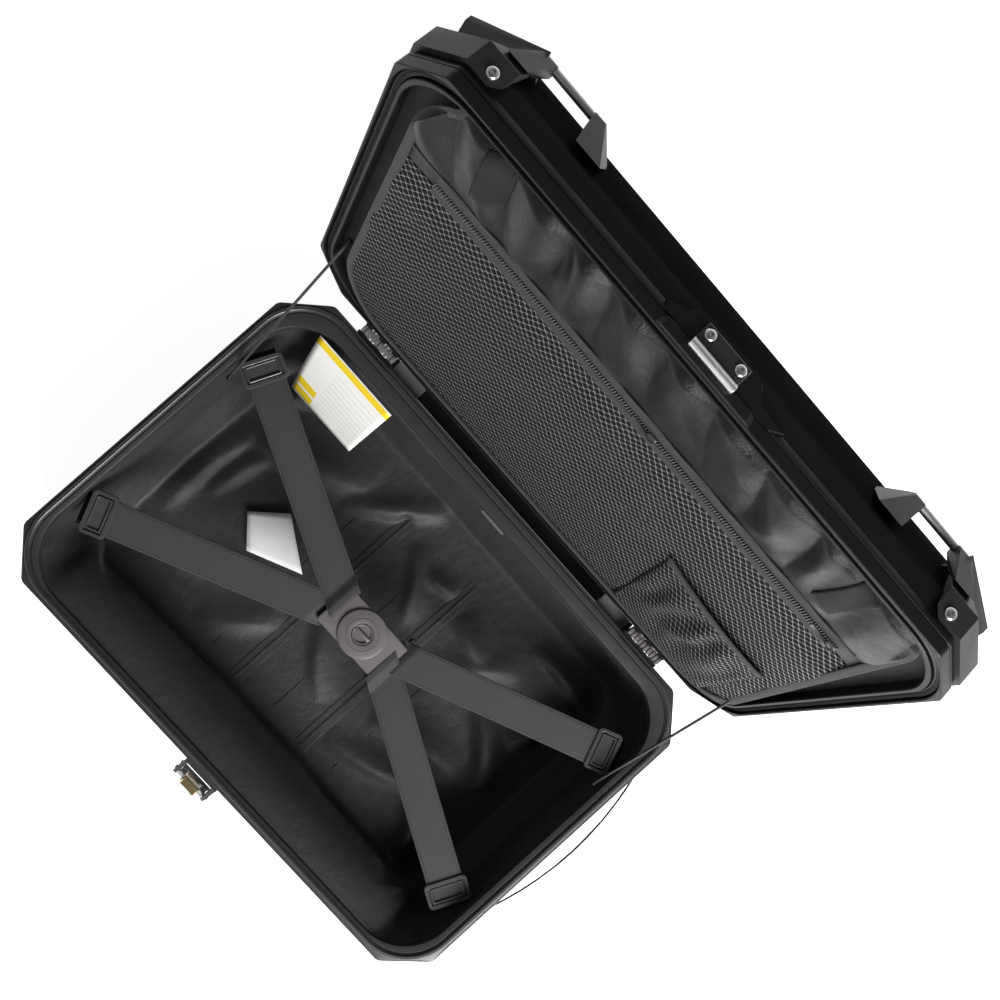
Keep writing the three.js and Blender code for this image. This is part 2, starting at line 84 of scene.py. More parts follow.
RIM_Z = box_mm("base_rim")[1][2]  # parting plane
HALF_X, HALF_Y = box_mm("base_rim")[1][:2]
CHAMFER = 40
SKIN_IN = 3  # sheet metal behind the rim frames' outline
FLOOR_Z = 9.4  # top of the lining's floor
STRAP_Z = box_mm("cross_plate")[0][2] + 3.5
LID_TOP = 90  # outside of the lid above the parting plane
hinge_joint = next(j for j in frame["joints"] if j["name"] == "lid_hinge")
HINGE = Vector(hinge_joint["pos_m"])
LID_OPEN = math.radians(hinge_joint["range_deg"][1])
# Lid pieces are made in closed-lid coordinates, with z = 0 on the parting plane.
LID = (
    Matrix.Translation(HINGE)
    @ Matrix.Rotation(-LID_OPEN, 4, "X")
    @ Matrix.Translation((0, -HINGE.y, RIM_Z * MM - HINGE.z))
)


# ---- materials ----
def tree_of(name, colour, rough, metal=0.0, gloss=0.5):
    look = bpy.data.materials.new(name)
    look.use_nodes = True
    tree = look.node_tree
    shader = tree.nodes["Principled BSDF"]
    shader.inputs["Base Color"].default_value = (*colour, 1)
    shader.inputs["Roughness"].default_value = rough
    shader.inputs["Metallic"].default_value = metal
    shader.inputs["Specular IOR Level"].default_value = gloss
    return look, tree, shader


def add(tree, kind, inputs=None, out=0, **props):
    """A shader node with its settings and inputs; returns one of its outputs."""
    made = tree.nodes.new("ShaderNode" + kind)
    for key, value in props.items():
        setattr(made, key, value)
    for key, value in (inputs or {}).items():
        if isinstance(value, bpy.types.NodeSocket):
            tree.links.new(value, made.inputs[key])
        else:
            made.inputs[key].default_value = value
    return made.outputs[out]


def math_node(tree, operation, a, b=0.0, c=0.0):
    return add(tree, "Math", {0: a, 1: b, 2: c}, operation=operation)


def place_of(tree, attribute=None):
    """The point on the surface in metres: the piece's own coordinates or its tape attribute."""
    if attribute:
        return add(tree, "Attribute", out=1, attribute_name=attribute)
    return add(tree, "TexCoord", out=3)


def noise_node(tree, place, size, detail=2.0, rough=0.5, stretch=(1, 1, 1)):
    """Noise whose features are `size` metres across."""
    spot = add(tree, "Mapping", {"Vector": place, "Scale": stretch})
    return add(tree, "TexNoise", {"Vector": spot, "Scale": 1 / size, "Detail": detail, "Roughness": rough})


def ramp(tree, value, low, high, start=0.0, end=1.0):
    limits = {"From Min": low, "From Max": high, "To Min": start, "To Max": end}
    return add(tree, "MapRange", {"Value": value, **limits})


def times(tree, a, b):
    return math_node(tree, "MULTIPLY", a, b)


def wave(tree, value, turns):
    return math_node(tree, "SINE", times(tree, value, turns))


def split(tree, place):
    """The x, y and z of a point."""
    return add(tree, "SeparateXYZ", {0: place}).node.outputs


def tint(tree, shader, share, dark, light):
    colour = add(tree, "Mix", {0: share, 6: (*dark, 1), 7: (*light, 1)}, out=2, data_type="RGBA")
    tree.links.new(colour, shader.inputs["Base Color"])


def bump(tree, shader, height, depth, strength=1.0, under=None):
    inputs = {"Height": height, "Distance": depth, "Strength": strength}
    if under is not None:
        inputs["Normal"] = under
    normal = add(tree, "Bump", inputs)
    tree.links.new(normal, shader.inputs["Normal"])
    return normal


def scaled(colour, factor):
    return tuple(c * factor for c in colour)


def moulded(name, colour, rough, grain=0.0006, depth=0.00004, vary=0.12, gloss=0.5):
    """Textured moulded plastic: fine spark grain, faint flow marks, dust."""
    look, tree, shader = tree_of(name, colour, rough, gloss=gloss)
    place = place_of(tree)
    fine = noise_node(tree, place, grain, 3)
    broad = noise_node(tree, place, 0.035, 3)
    tint(tree, shader, broad, scaled(colour, 1 - vary), scaled(colour, 1 + vary))
    shine = math_node(tree, "MULTIPLY_ADD", broad, 0.12, rough - 0.06)
    tree.links.new(math_node(tree, "MULTIPLY_ADD", fine, 0.08, shine), shader.inputs["Roughness"])
    bump(tree, shader, fine, depth)
    return look


def powder(name, colour, rough, edge):
    """Powder-coated sheet with a fine orange peel, dark even at a glancing angle."""
    look, tree, shader = tree_of(name, colour, rough, 1.0)
    shader.inputs["Specular Tint"].default_value = (edge, edge, edge, 1)
    place = place_of(tree)
    peel = noise_node(tree, place, 0.0011, 2)
    broad = noise_node(tree, place, 0.08, 2)
    tint(tree, shader, broad, scaled(colour, 0.88), scaled(colour, 1.12))
    tree.links.new(ramp(tree, broad, 0.3, 0.7, rough - 0.04, rough + 0.05), shader.inputs["Roughness"])
    bump(tree, shader, peel, 0.00003)
    return look


def nylon(name, colour, rough, pitch=0.0006, sheen=0.3, depth=0.00005, gloss=0.5):
    """Coated lining cloth: a fine plain weave, soft creases and a satin face."""
    look, tree, shader = tree_of(name, colour, rough, gloss=gloss)
    shader.inputs["Sheen Weight"].default_value = sheen
    shader.inputs["Sheen Roughness"].default_value = 0.4
    place = place_of(tree)
    turns = 2 * math.pi / pitch
    waves = [wave(tree, axis, turns) for axis in split(tree, place)]
    weave = times(tree, math_node(tree, "ADD", waves[0], waves[2]), waves[1])
    crease = noise_node(tree, place, 0.012, 4, 0.6)
    broad = noise_node(tree, place, 0.05, 3)
    tint(tree, shader, broad, scaled(colour, 0.8), scaled(colour, 1.25))
    tree.links.new(ramp(tree, crease, 0.25, 0.75, rough - 0.05, rough + 0.08), shader.inputs["Roughness"])
    soft = bump(tree, shader, crease, 0.002, 0.45)
    bump(tree, shader, weave, depth, 0.5, soft)
    return look


WARP_PITCH = 0.0012  # metres between the threads along a tape
TWILL_TURNS = 2600  # radians per metre of the twill lines, and of a cord's braid


def webbing_look(name, colour, rough, half, rib=0.0012, stripe=0.0028):
    """Woven tape: ribs across it, and a dark woven line near each edge. `half` is half its width."""
    look, tree, shader = tree_of(name, colour, rough, gloss=0.3)
    shader.inputs["Sheen Weight"].default_value = 0.12
    place = place_of(tree, "tape")
    along, across, _ = split(tree, place)
    ribs = wave(tree, along, 2 * math.pi / rib)
    ends = wave(tree, across, 2 * math.pi / WARP_PITCH)
    twill = wave(tree, math_node(tree, "ADD", along, across), TWILL_TURNS)
    from_edge = math_node(tree, "SUBTRACT", half, math_node(tree, "ABSOLUTE", across))
    line = math_node(tree, "COMPARE", from_edge, stripe, 0.0006)
    weave = math_node(tree, "MULTIPLY_ADD", times(tree, ribs, ends), 0.5, twill)
    share = ramp(tree, math_node(tree, "MULTIPLY_ADD", line, -1.4, weave), -1.6, 1.6)
    broad = noise_node(tree, place_of(tree), 0.03, 3)
    share = math_node(tree, "MULTIPLY_ADD", broad, 0.4, times(tree, share, 0.6))
    share = math_node(tree, "MULTIPLY_ADD", line, -0.9, share)
    tint(tree, shader, share, scaled(colour, 0.7), scaled(colour, 1.3))
    bump(tree, shader, math_node(tree, "MULTIPLY_ADD", line, -3, weave), 0.00008)
    return look


# Colour of the knit's holes: the dark board behind them, darkened further as painted shade
HOLE_BOARD_AND_SHADE = (0.0008, 0.0008, 0.0009)


def knit_painted_light_look(name, colour, pitch=0.0057):
    """Diamond mesh knit laid at 45 degrees: raised strands over dark holes. The strands' pale colour is a
    painted highlight; the near-black holes are the dark board behind with painted shade.
    """
    look, tree, shader = tree_of(name, colour, 0.38, gloss=0.3)
    place = place_of(tree)
    wobble = noise_node(tree, place, 0.02, 2)
    turned = add(tree, "Mapping", {"Vector": place, "Rotation": (0, 0, math.radians(45))})
    shift = times(tree, wobble, 0.004)
    waves = [
        wave(tree, math_node(tree, "ADD", axis, shift), math.pi / pitch) for axis in split(tree, turned)[:2]
    ]
    hole = math_node(tree, "ABSOLUTE", times(tree, *waves))
    strand = ramp(tree, hole, 0.2, 0.08)
    thread = noise_node(tree, place, 0.0006, 1)
    share = times(tree, strand, ramp(tree, thread, 0.2, 0.8, 0.6, 1.3))
    # Painted light: strands pale as painted highlights, holes near black as painted shade
    tint(tree, shader, share, HOLE_BOARD_AND_SHADE, scaled(colour, 1.5))
    tree.links.new(ramp(tree, strand, 0, 1, 0.95, 0.38), shader.inputs["Roughness"])
    bump(tree, shader, strand, 0.0012)
    return look


def metal_look(name, colour, rough, brushed=(1, 1, 1), depth=0.00001):
    look, tree, shader = tree_of(name, colour, rough, 1.0)
    place = place_of(tree)
    lines = noise_node(tree, place, 0.0009, 3, 0.6, brushed)
    broad = noise_node(tree, place, 0.02, 3)
    tint(tree, shader, broad, scaled(colour, 0.82), scaled(colour, 1.08))
    tree.links.new(ramp(tree, lines, 0.2, 0.8, rough - 0.08, rough + 0.12), shader.inputs["Roughness"])
    bump(tree, shader, lines, depth)
    return look


def pile_look(name, colour):
    """Loop pile of a touch fastener."""
    look, tree, shader = tree_of(name, colour, 0.9, gloss=0.15)
    shader.inputs["Sheen Weight"].default_value = 0.05
    place = place_of(tree)
    loops = add(tree, "TexVoronoi", {"Vector": place, "Scale": 900})
    fuzz = noise_node(tree, place, 0.0012, 3)
    share = math_node(tree, "ADD", times(tree, loops, 0.6), times(tree, fuzz, 0.5))
    tint(tree, shader, share, scaled(colour, 0.5), scaled(colour, 1.8))
    bump(tree, shader, share, 0.0006)
    return look


def card_look(name):
    """Printed card: yellow bands and grey rules, no lettering. Its tape runs from 0 to 1 each way."""
    look, tree, shader = tree_of(name, (0.9, 0.89, 0.84), 0.45)
    place = place_of(tree, "tape")
    x, y, _ = split(tree, place)

    def block(x0, x1, y0, y1):
        inside_x = math_node(tree, "COMPARE", x, (x0 + x1) / 2, (x1 - x0) / 2)
        inside_y = math_node(tree, "COMPARE", y, (y0 + y1) / 2, (y1 - y0) / 2)
        return times(tree, inside_x, inside_y)

    def mixed(share, under, over):
        return add(tree, "Mix", {0: share, 6: under, 7: over}, out=2, data_type="RGBA")

    bands = math_node(tree, "MAXIMUM", block(0.02, 0.3, 0.03, 0.15), block(0.02, 0.3, 0.19, 0.31))
    bands = math_node(tree, "MAXIMUM", bands, block(0, 1, 0.89, 0.98))
    rules = math_node(tree, "GREATER_THAN", math_node(tree, "FRACT", times(tree, y, 14)), 0.82)
    rules = times(tree, rules, block(0.35, 0.95, 0.08, 0.85))
    grain = noise_node(tree, place_of(tree), 0.002, 2)
    paper = mixed(grain, (0.83, 0.82, 0.78, 1), (0.93, 0.92, 0.88, 1))
    lined = mixed(times(tree, rules, 0.35), paper, (0.35, 0.36, 0.36, 1))
    printed = mixed(bands, lined, (0.85, 0.62, 0.02, 1))
    tree.links.new(printed, shader.inputs["Base Color"])
    bump(tree, shader, grain, 0.00004)
    return look


def cord_look(name, colour):
    look, tree, shader = tree_of(name, colour, 0.5)
    place = place_of(tree, "tape")
    along, across, _ = split(tree, place)
    lays = []
    for lay in (1700, -1700):
        slant = math_node(tree, "MULTIPLY_ADD", along, TWILL_TURNS, times(tree, across, lay))
        lays.append(math_node(tree, "SINE", slant))
    braid = math_node(tree, "MAXIMUM", *lays)
    tint(tree, shader, ramp(tree, braid, -1, 1), scaled(colour, 0.5), scaled(colour, 1.4))
    bump(tree, shader, braid, 0.00015)
    return look


SHADE = (1.04, 0.96, 1.03)  # the faint warm violet of the black parts


def grey(level):
    return tuple(level * c for c in SHADE)


LOOKS = {
    "shell": (powder("powder_coat", grey(0.032), 0.45, 0.12), "shell"),
    "frame": (moulded("frame_plastic", grey(0.004), 0.42, gloss=0.3), "frame"),
    "rim": (moulded("rim_plastic", grey(0.03), 0.32, depth=0.00002), "rim"),
    "plate": (moulded("plate_plastic", grey(0.13), 0.3, depth=0.00002), "buckle"),
    "buckle": (moulded("buckle_plastic", grey(0.055), 0.24, depth=0.00002), "buckle"),
    "cover": (moulded("cover_plastic", grey(0.014), 0.5, grain=0.0012, depth=0.00012), "cover"),
    "rough_cover": (moulded("rough_plastic", grey(0.014), 0.55, grain=0.002, depth=0.0005), "cover"),
    "rubber": (moulded("rubber_seal", grey(0.005), 0.55), "rubber"),
    "liner": (nylon("lining_cloth", grey(0.027), 0.46, sheen=0.1, gloss=0.42), "liner"),
    "satin": (nylon("pocket_cloth", grey(0.01), 0.3, sheen=0.03, gloss=0.26), "liner"),
    "hollow": (moulded("lid_inside", grey(0.003), 0.7), "shell"),
    "webbing": (webbing_look("strap_webbing", grey(0.042), 0.62, 0.019), "webbing"),
    "tab": (webbing_look("tab_webbing", grey(0.008), 0.7, 0.0175), "webbing"),
    "tape": (webbing_look("zip_tape", grey(0.013), 0.7, 0.014, 0.0012, 0.002), "webbing"),
    "binding": (webbing_look("binding_tape", (0.02, 0.017, 0.017), 0.75, 0.0045, 0.0022, 0.0009), "webbing"),
    # Knit with painted highlights on its strands and painted shade in its holes
    "knit": (knit_painted_light_look("mesh_knit_painted_light", grey(0.13)), "mesh"),
    "pile": (pile_look("fastener_pile", grey(0.012)), "webbing"),
    "steel": (metal_look("plated_steel", (0.78, 0.78, 0.8), 0.22), "steel"),
    "satin_steel": (metal_look("brushed_aluminium", (0.86, 0.85, 0.84), 0.42, (0.04, 1, 1)), "steel"),
    # Pale copy of the black frame plastic: the hinge pads' grey is a painted highlight
    "pad": (moulded("pad_plastic_painted_highlight", grey(0.1), 0.4), "frame"),
    # Pale copy of the black frame plastic: the hinge ribs' grey is a painted highlight; the wall badge
    # shares it
    "barrel": (moulded("barrel_plastic_painted_highlight", grey(0.13), 0.3), "frame"),
    "brass": (metal_look("yellow_brass", (0.6, 0.47, 0.24), 0.3), "brass"),
    "cord": (cord_look("braided_cord", grey(0.02)), "cord"),
    "card": (card_look("printed_card"), "paper"),
    "tag": (moulded("woven_label", (0.8, 0.78, 0.8), 0.6, grain=0.0008), "paper"),
}


# ---- making pieces ----
def shade(piece, angle=35):
    mesh = piece.data
    mesh.shade_smooth()
    mesh.set_sharp_from_angle(angle=math.radians(angle))


def make(name, verts, faces, look, body, at=BASE, angle=35, tape=None, outward=True):
    """A piece from millimetre points, placed by `at` and riding on a body. `tape` holds (along, across)
    in millimetres for each point, for looks that follow a tape."""
    mesh = bpy.data.meshes.new(name)
    points = [tuple(MM * float(c) for c in v) for v in verts]
    mesh.from_pydata(points, [], [tuple(int(i) for i in f) for f in faces])
    if outward:
        shell = bmesh.new()
        shell.from_mesh(mesh)
        bmesh.ops.recalc_face_normals(shell, faces=shell.faces)
        shell.to_mesh(mesh)
        shell.free()
    if tape is not None:
        layer = mesh.attributes.new("tape", "FLOAT_VECTOR", "POINT")
        layer.data.foreach_set("vector", np.column_stack([np.array(tape) * MM, np.zeros(len(tape))]).ravel())
    material, slot = LOOKS[look]
    mesh.materials.append(material)
    piece = bpy.data.objects.new(name, mesh)
    bpy.context.scene.collection.objects.link(piece)
    piece.matrix_world = at
    shade(piece, angle)
    if body:
        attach(piece, body)
    return piece


def refined(node, look, edge=0.6, segments=2, angle=30):
    """A copy of a CAD node with its flat faces joined up and its edges rounded."""
    source = frame["nodes"][node]
    shell = bmesh.new()
    shell.from_mesh(source.data)
    bmesh.ops.remove_doubles(shell, verts=shell.verts, dist=1e-6)
    bmesh.ops.dissolve_limit(shell, angle_limit=math.radians(3), verts=shell.verts, edges=shell.edges)
    mesh = bpy.data.meshes.new(node + "_body")
    shell.to_mesh(mesh)
    shell.free()
    material, slot = LOOKS[look]
    mesh.materials.append(material)
    piece = bpy.data.objects.new(node + "_body", mesh)
    bpy.context.scene.collection.objects.link(piece)
    rounding = piece.modifiers.new("edges", "BEVEL")
    rounding.width = edge * MM
    rounding.segments = segments
    rounding.limit_method = "ANGLE"
    rounding.angle_limit = math.radians(angle)
    shade(piece, 40)
    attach(piece, source["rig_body"])
    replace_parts(piece, node)
    return piece


def arc(cx, cy, r, start, end, count):
    """Points on a circle from one angle to another, in degrees."""
    a = np.radians(np.linspace(start, end, count))
    return np.column_stack([cx + r * np.cos(a), cy + r * np.sin(a)])


CORNER_POINTS = 14  # points round each corner of a ring


def rounded(half_x, half_y, radius, y=0.0):
    """Outline of a rounded rectangle, from the lower right corner round anticlockwise."""
    r = max(radius, 0.01)
    corners = []
    for sx, sy, start in ((1, -1, -90), (1, 1, 0), (-1, 1, 90), (-1, -1, 180)):
        corners.append(arc(sx * (half_x - r), y + sy * (half_y - r), r, start, start + 90, CORNER_POINTS))
    return np.vstack(corners)


def octagon(inset, radius=9.0):
    """Outline of the case `inset` inside its rim frames, with as many points as `rounded` gives."""
    hx, hy = HALF_X - inset, HALF_Y - inset
    leg = CHAMFER - inset * (2 - math.sqrt(2))
    t = radius * math.tan(math.radians(22.5))
    half = CORNER_POINTS // 2
    corners = []
    for quarter, (sx, sy) in enumerate(((1, -1), (1, 1), (-1, 1), (-1, -1))):
        first = (sx * (hx - leg - t), sy * (hy - radius))
        second = (sx * (hx - radius), sy * (hy - leg - t))
        if sx * sy > 0:
            first, second = second, first
        start = -90 + 90 * quarter
        one = arc(*first, radius, start, start + 45, half)
        two = arc(*second, radius, start + 45, start + 90, half)
        corners += [one, two]
    return np.vstack(corners)


def level(ring, z):
    return np.column_stack([ring, np.full(len(ring), z)])


def loft(rings, closed=False):
    """Faces between rings of the same number of points; closed joins the last ring to the first."""
    n = len(rings[0])
    verts = np.vstack(rings)
    faces = []
    for k in range(len(rings) if closed else len(rings) - 1):
        a, b = k * n, (k + 1) % len(rings) * n
        faces += [(a + i, a + (i + 1) % n, b + (i + 1) % n, b + i) for i in range(n)]
    if not closed:
        faces += [tuple(range(n))[::-1], tuple(range((len(rings) - 1) * n, len(rings) * n))]
    return verts, faces


def grid_faces(rows, columns):
    """Faces of a grid of points listed row by row."""
    return [
        (r * columns + c, r * columns + c + 1, (r + 1) * columns + c + 1, (r + 1) * columns + c)
        for r in range(rows - 1)
        for c in range(columns - 1)
    ]


def spread_over(spots, rows, columns):
    """(down, across, point) over a quadrilateral, row by row from its side 0-1 to its side 3-2."""
    corners = np.array(spots, float)
    for down in np.linspace(0, 1, rows):
        left = corners[0] + (corners[3] - corners[0]) * down
        right = corners[1] + (corners[2] - corners[1]) * down
        for across in np.linspace(0, 1, columns):
            yield down, across, left + (right - left) * across


def eased(points, radius, steps):
    """A polyline of (offset, height) with its bends rounded by the given radius."""
    points = [np.array(p, float) for p in points]
    out = [points[0]]
    for before, here, after in zip(points, points[1:], points[2:]):
        back, on = before - here, after - here
        reach = min(radius, np.linalg.norm(back) * 0.45, np.linalg.norm(on) * 0.45)
        a = here + back / np.linalg.norm(back) * reach
        b = here + on / np.linalg.norm(on) * reach
        for t in np.linspace(0, 1, steps):
            out.append((1 - t) ** 2 * a + 2 * t * (1 - t) * here + t**2 * b)
    out.append(points[-1])
    return out


def frames_along(path, up):
    """The path with the unit side and normal at each of its points."""
    path = np.array(path, float)
    tangent = np.gradient(path, axis=0)
    tangent /= np.linalg.norm(tangent, axis=1)[:, None]
    up = np.broadcast_to(np.array(up, float), path.shape)
    side = np.cross(tangent, up)
    side /= np.linalg.norm(side, axis=1)[:, None]
    return path, side, np.cross(side, tangent)


def sweep(path, section, up=(0, 0, 1)):
    """A closed section of (side, normal) points carried along a path. Returns points, faces and the
    (along, across) of each point."""
    path, side, normal = frames_along(path, up)
    section = np.array(section, float)
    rings = [p + (section[:, :1] * s + section[:, 1:] * n) for p, s, n in zip(path, side, normal)]
    verts, faces = loft(rings)
    length = np.concatenate([[0], np.cumsum(np.linalg.norm(np.diff(path, axis=0), axis=1))])
    girth = np.concatenate([[0], np.cumsum(np.linalg.norm(np.diff(section, axis=0), axis=1))])
    across = section[:, 0] if np.ptp(section[:, 0]) > 3 * np.ptp(section[:, 1]) else girth
    tape = np.column_stack([np.repeat(length, len(section)), np.tile(across, len(path))])
    return verts, faces, tape


def strip_section(width, thick, points=7):
    """Section of a flat strap: flat faces and rounded selvedges."""
    x = np.linspace(-width / 2 + thick / 2, width / 2 - thick / 2, points)
    bottom = np.column_stack([x, np.full(points, -thick / 2)])
    top = np.column_stack([x[::-1], np.full(points, thick / 2)])
    right = arc(width / 2 - thick / 2, 0, thick / 2, -60, 60, 3)
    left = arc(-width / 2 + thick / 2, 0, thick / 2, 120, 240, 3)
    return np.vstack([bottom, right, top, left])


def round_section(radius, count=12):
    return arc(0, 0, radius, 0, 360 - 360 / count, count)


def resampled(points, count):
    """Points spread evenly along a polyline."""
    points = np.array(points, float)
    along = np.concatenate([[0], np.cumsum(np.linalg.norm(np.diff(points, axis=0), axis=1))])
    where = np.linspace(0, along[-1], count)
    return np.column_stack([np.interp(where, along, points[:, k]) for k in range(points.shape[1])])


def swept(name, path, section, look, body, at=BASE, up=(0, 0, 1)):
    verts, faces, tape = sweep(path, section, up)
    return make(name, verts, faces, look, body, at, 50, tape)


def lathe(profile, sides=48):
    """Rings of (radius, height) round Z; the first and last are closed by a cap."""
    a = np.linspace(0, 2 * math.pi, sides, endpoint=False)
    rings = [np.column_stack([r * np.cos(a), r * np.sin(a), np.full(sides, z)]) for r, z in profile]
    return loft(rings)


def placed(verts, matrix):
    """Millimetre points moved by a matrix whose translation is in millimetres."""
    return [tuple(matrix @ Vector(v)) for v in np.array(verts, float)]


def merged(parts):
    """Several (points, faces) joined as one list."""
    verts, faces = [], []
    for part in parts:
        base = len(verts)
        verts += [tuple(v) for v in part[0]]
        faces += [tuple(i + base for i in f) for f in part[1]]
    return verts, faces


# ---- camera ----
def add_camera():
    camera = bpy.data.objects.new("camera", bpy.data.cameras.new("camera"))
    bpy.context.scene.collection.objects.link(camera)
    camera.location = (-0.0691, 0.0994, 1.4177)
    target = Vector((0.0542, 0.1632, 0.130))
    forward = (target - camera.location).normalized()
    right = forward.cross(Vector((0, 1, 0))).normalized()
    roll = Quaternion(forward, math.radians(-48.17))
    right = roll @ right
    up = right.cross(forward)
    axes = Matrix((right, up, -forward)).transposed().to_4x4()
    camera.matrix_world = Matrix.Translation(camera.location) @ axes
    camera.data.sensor_width = 36
    camera.data.lens = 46.0
    camera.data.shift_x = -0.0129
    camera.data.shift_y = 0.0696
    bpy.context.scene.camera = camera


# ---- stay cords ----
STAY_BASE = (277, 79, 118)
STAY_LID = (279, 127, 12)  # on the closed lid, above the parting plane
STAY_RADIUS = 1.5
STAY_EYE = ((0.01, -2.5), (1.6, -2.2), (2.6, -1), (2.9, 0.4), (2.5, 1.8), (1.5, 3.4), (1.45, 9.5), (1.3, 10))


def add_stays():
    for name, side in (("left", -1), ("right", 1)):
        low = Vector((side * STAY_BASE[0], *STAY_BASE[1:]))
        high = LID @ (Vector((side * STAY_LID[0], *STAY_LID[1:])) * MM) / MM
        run = (high - low).normalized()
        path = [low + run * 6 + (high - low - run * 12) * t for t in np.linspace(0, 1, 24)]
        verts, faces, tape = sweep(path, round_section(STAY_RADIUS), up=(0, 1, 0))
        cord = make("stay_cord_braid_" + name, verts, faces, "cord", None, tape=tape)
        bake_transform(cord)
        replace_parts(cord, "stay_cord_" + name)
        for end, spot, away in (("base", low, run), ("lid", high, -run)):
            turn = away.to_track_quat("Z", "Y").to_matrix().to_4x4()
            verts, faces = lathe(STAY_EYE, 24)
            verts = placed(verts, Matrix.Translation(spot) @ turn)
            make(f"stay_eye_{end}_{name}", verts, faces, "frame", end)


# ---- base ----
def add_base_shell():
    outer = eased([(3, 118), (3, 46), (38, 4), (54, 4)], 7, 6)
    inner = eased([(56, 6), (40.5, 6), (5, 47), (5, 118)], 5, 5)
    rings = [level(octagon(inset, 10), z) for inset, z in outer[::-1] + inner[::-1]]
    verts, faces = loft(rings)
    shell = make("base_shell_skin", verts, faces, "shell", "base")
    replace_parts(shell, "base_shell")
    for node, look in (("adapter_plate", "frame"), ("foot_front", "rubber"), ("foot_rear", "rubber")):
        refined(node, look, 0.8)


def add_base_rim():
    """Moulded frame: outer skirt, ridge, sealing groove, sloping band and the skirt behind the lining."""
    mouth = (284, 187, 58, -5)  # half length, half width, corner radius and centre

    def lip(inset, z):
        return level(rounded(296 - inset, 200.5 - inset, 60 - inset), z)

    def inner(out, z):
        return level(rounded(mouth[0] + out, mouth[1] + out, mouth[2] + out, mouth[3]), z)

    rings = [level(octagon(3.1, 9), 110), level(octagon(0.4, 10), 110), level(octagon(0, 10), 110.5)]
    rings += [level(octagon(0, 10), 125.6), level(octagon(0.5, 10), 126.8), level(octagon(1.5, 9.5), 127.3)]
    ridge = [(-0.6, 127.3), (0, 127.5), (0.3, 129.2), (1.2, 130), (3.2, 130), (4.2, 129.3)]
    groove = [(4.6, 128.3), (5.4, 128), (5.8, 126.9), (6.4, 127.4), (7, 127.7)]
    skirt = [(1.2, 127.1), (0.3, 126.7), (0, 125.8), (0, 112.8), (0.4, 112.4), (2, 112.4), (2, 117.9)]
    rings += [lip(*spot) for spot in ridge + groove] + [inner(*spot) for spot in skirt]
    rings.append(level(octagon(3.1, 9), 118.2))
    verts, faces = loft(rings, closed=True)
    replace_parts(make("base_rim_frame", verts, faces, "rim", "base", angle=26), "base_rim")


# ---- lining ----
# The lining is a loose bag of coated nylon on a rectangular grid of points. It starts as a tub between the
# rim and the floor, is cut a little larger than that tub, and a small cloth simulation lets it sink.
CELLS = (150, 112)  # cells of the grid along and across the case
WALL_CELLS = 20  # of them up each wall
RIM_LINE = (287, 192, 52, 122)  # half length, half width, corner radius and height
FLOOR_LINE = (256, 160, 42, 9)
ROOM = (257, 162, 42)  # half length, half width and corner radius that the cloth may fill at the floor
BEVEL_ADDS = (31, 31, 10)  # what the bevelled walls add to each by the top of the bevel
BEVEL_HIGH = 42
FRONT_PULL = 0.09  # the bag is narrower than the shell at the bottom of its front wall
ZIP_STRIPS = (-50, 53)  # x of the floor zips, which hold the cloth down
STEPS, ROUNDS, STEP_S = 60, 7, 0.011  # steps of the simulation, rounds of pulling in each, and its seconds
SINK = 6000  # mm/s2, what pulls the cloth down
FRONT_PRESS = 800  # mm/s2, what presses the front wall inwards
WAVES = 26  # random waves that make the cloth's slack uneven
DRAG = 0.96  # share of its speed that the cloth keeps from one step to the next
# Creases pressed into the floor of the bag: both ends in plan, height and half width.
CREASES = (
    ((-235, 50), (-95, 118), 9, 26), ((-118, 84), (-20, 152), 9, 17), ((-225, -20), (-190, 60), 6, 16),
    ((-190, -100), (-75, -35), 6, 20), ((-32, 104), (34, 42), 7, 14), ((2, 84), (46, 112), 6, 12),
    ((-38, -18), (34, -84), 6, 16), ((66, 98), (142, 62), 8, 18), ((76, 26), (165, 92), 8, 20),
    ((145, 52), (222, -28), 11, 20), ((176, -84), (228, -152), 10, 17), ((84, -62), (192, -18), 8, 22),
    ((66, -112), (172, -66), 7, 17), ((-130, -118), (-58, -58), 6, 20), ((196, 34), (242, 112), 10, 20),
    ((-244, -70), (-222, 66), 9, 20), ((-240, 96), (-196, 142), 9, 14), ((150, 120), (236, 134), 8, 13),
)


def tub_points():
    i, j = np.meshgrid(np.arange(CELLS[0] + 1), np.arange(CELLS[1] + 1))
    half = (CELLS[0] / 2, CELLS[1] / 2)
    ring = np.minimum.reduce([i, CELLS[0] - i, j, CELLS[1] - j])
    share = np.minimum(ring / WALL_CELLS, 1)
    half_x, half_y, radius, z = (a + (b - a) * share for a, b in zip(RIM_LINE, FLOOR_LINE))
    inner = [np.minimum((h - ring) / (h - WALL_CELLS), 1) for h in half]
    half_x, half_y, radius = half_x * inner[0], half_y * inner[1], radius * inner[1]
    x = half_x * (i - half[0]) / np.maximum(half[0] - ring, 1)
    y = half_y * (j - half[1]) / np.maximum(half[1] - ring, 1)
    over_x, over_y = abs(x) - half_x + radius, abs(y) - half_y + radius
    corner = (over_x > 0) & (over_y > 0)
    reach = radius / np.maximum(np.hypot(over_x, over_y), 1e-9)
    x = np.where(corner, np.sign(x) * (half_x - radius + over_x * reach), x)
    y = np.where(corner, np.sign(y) * (half_y - radius + over_y * reach), y)
    y = np.where(y < 0, y * (1 - FRONT_PULL * share), y)
    return np.stack([x, y, z], axis=-1)


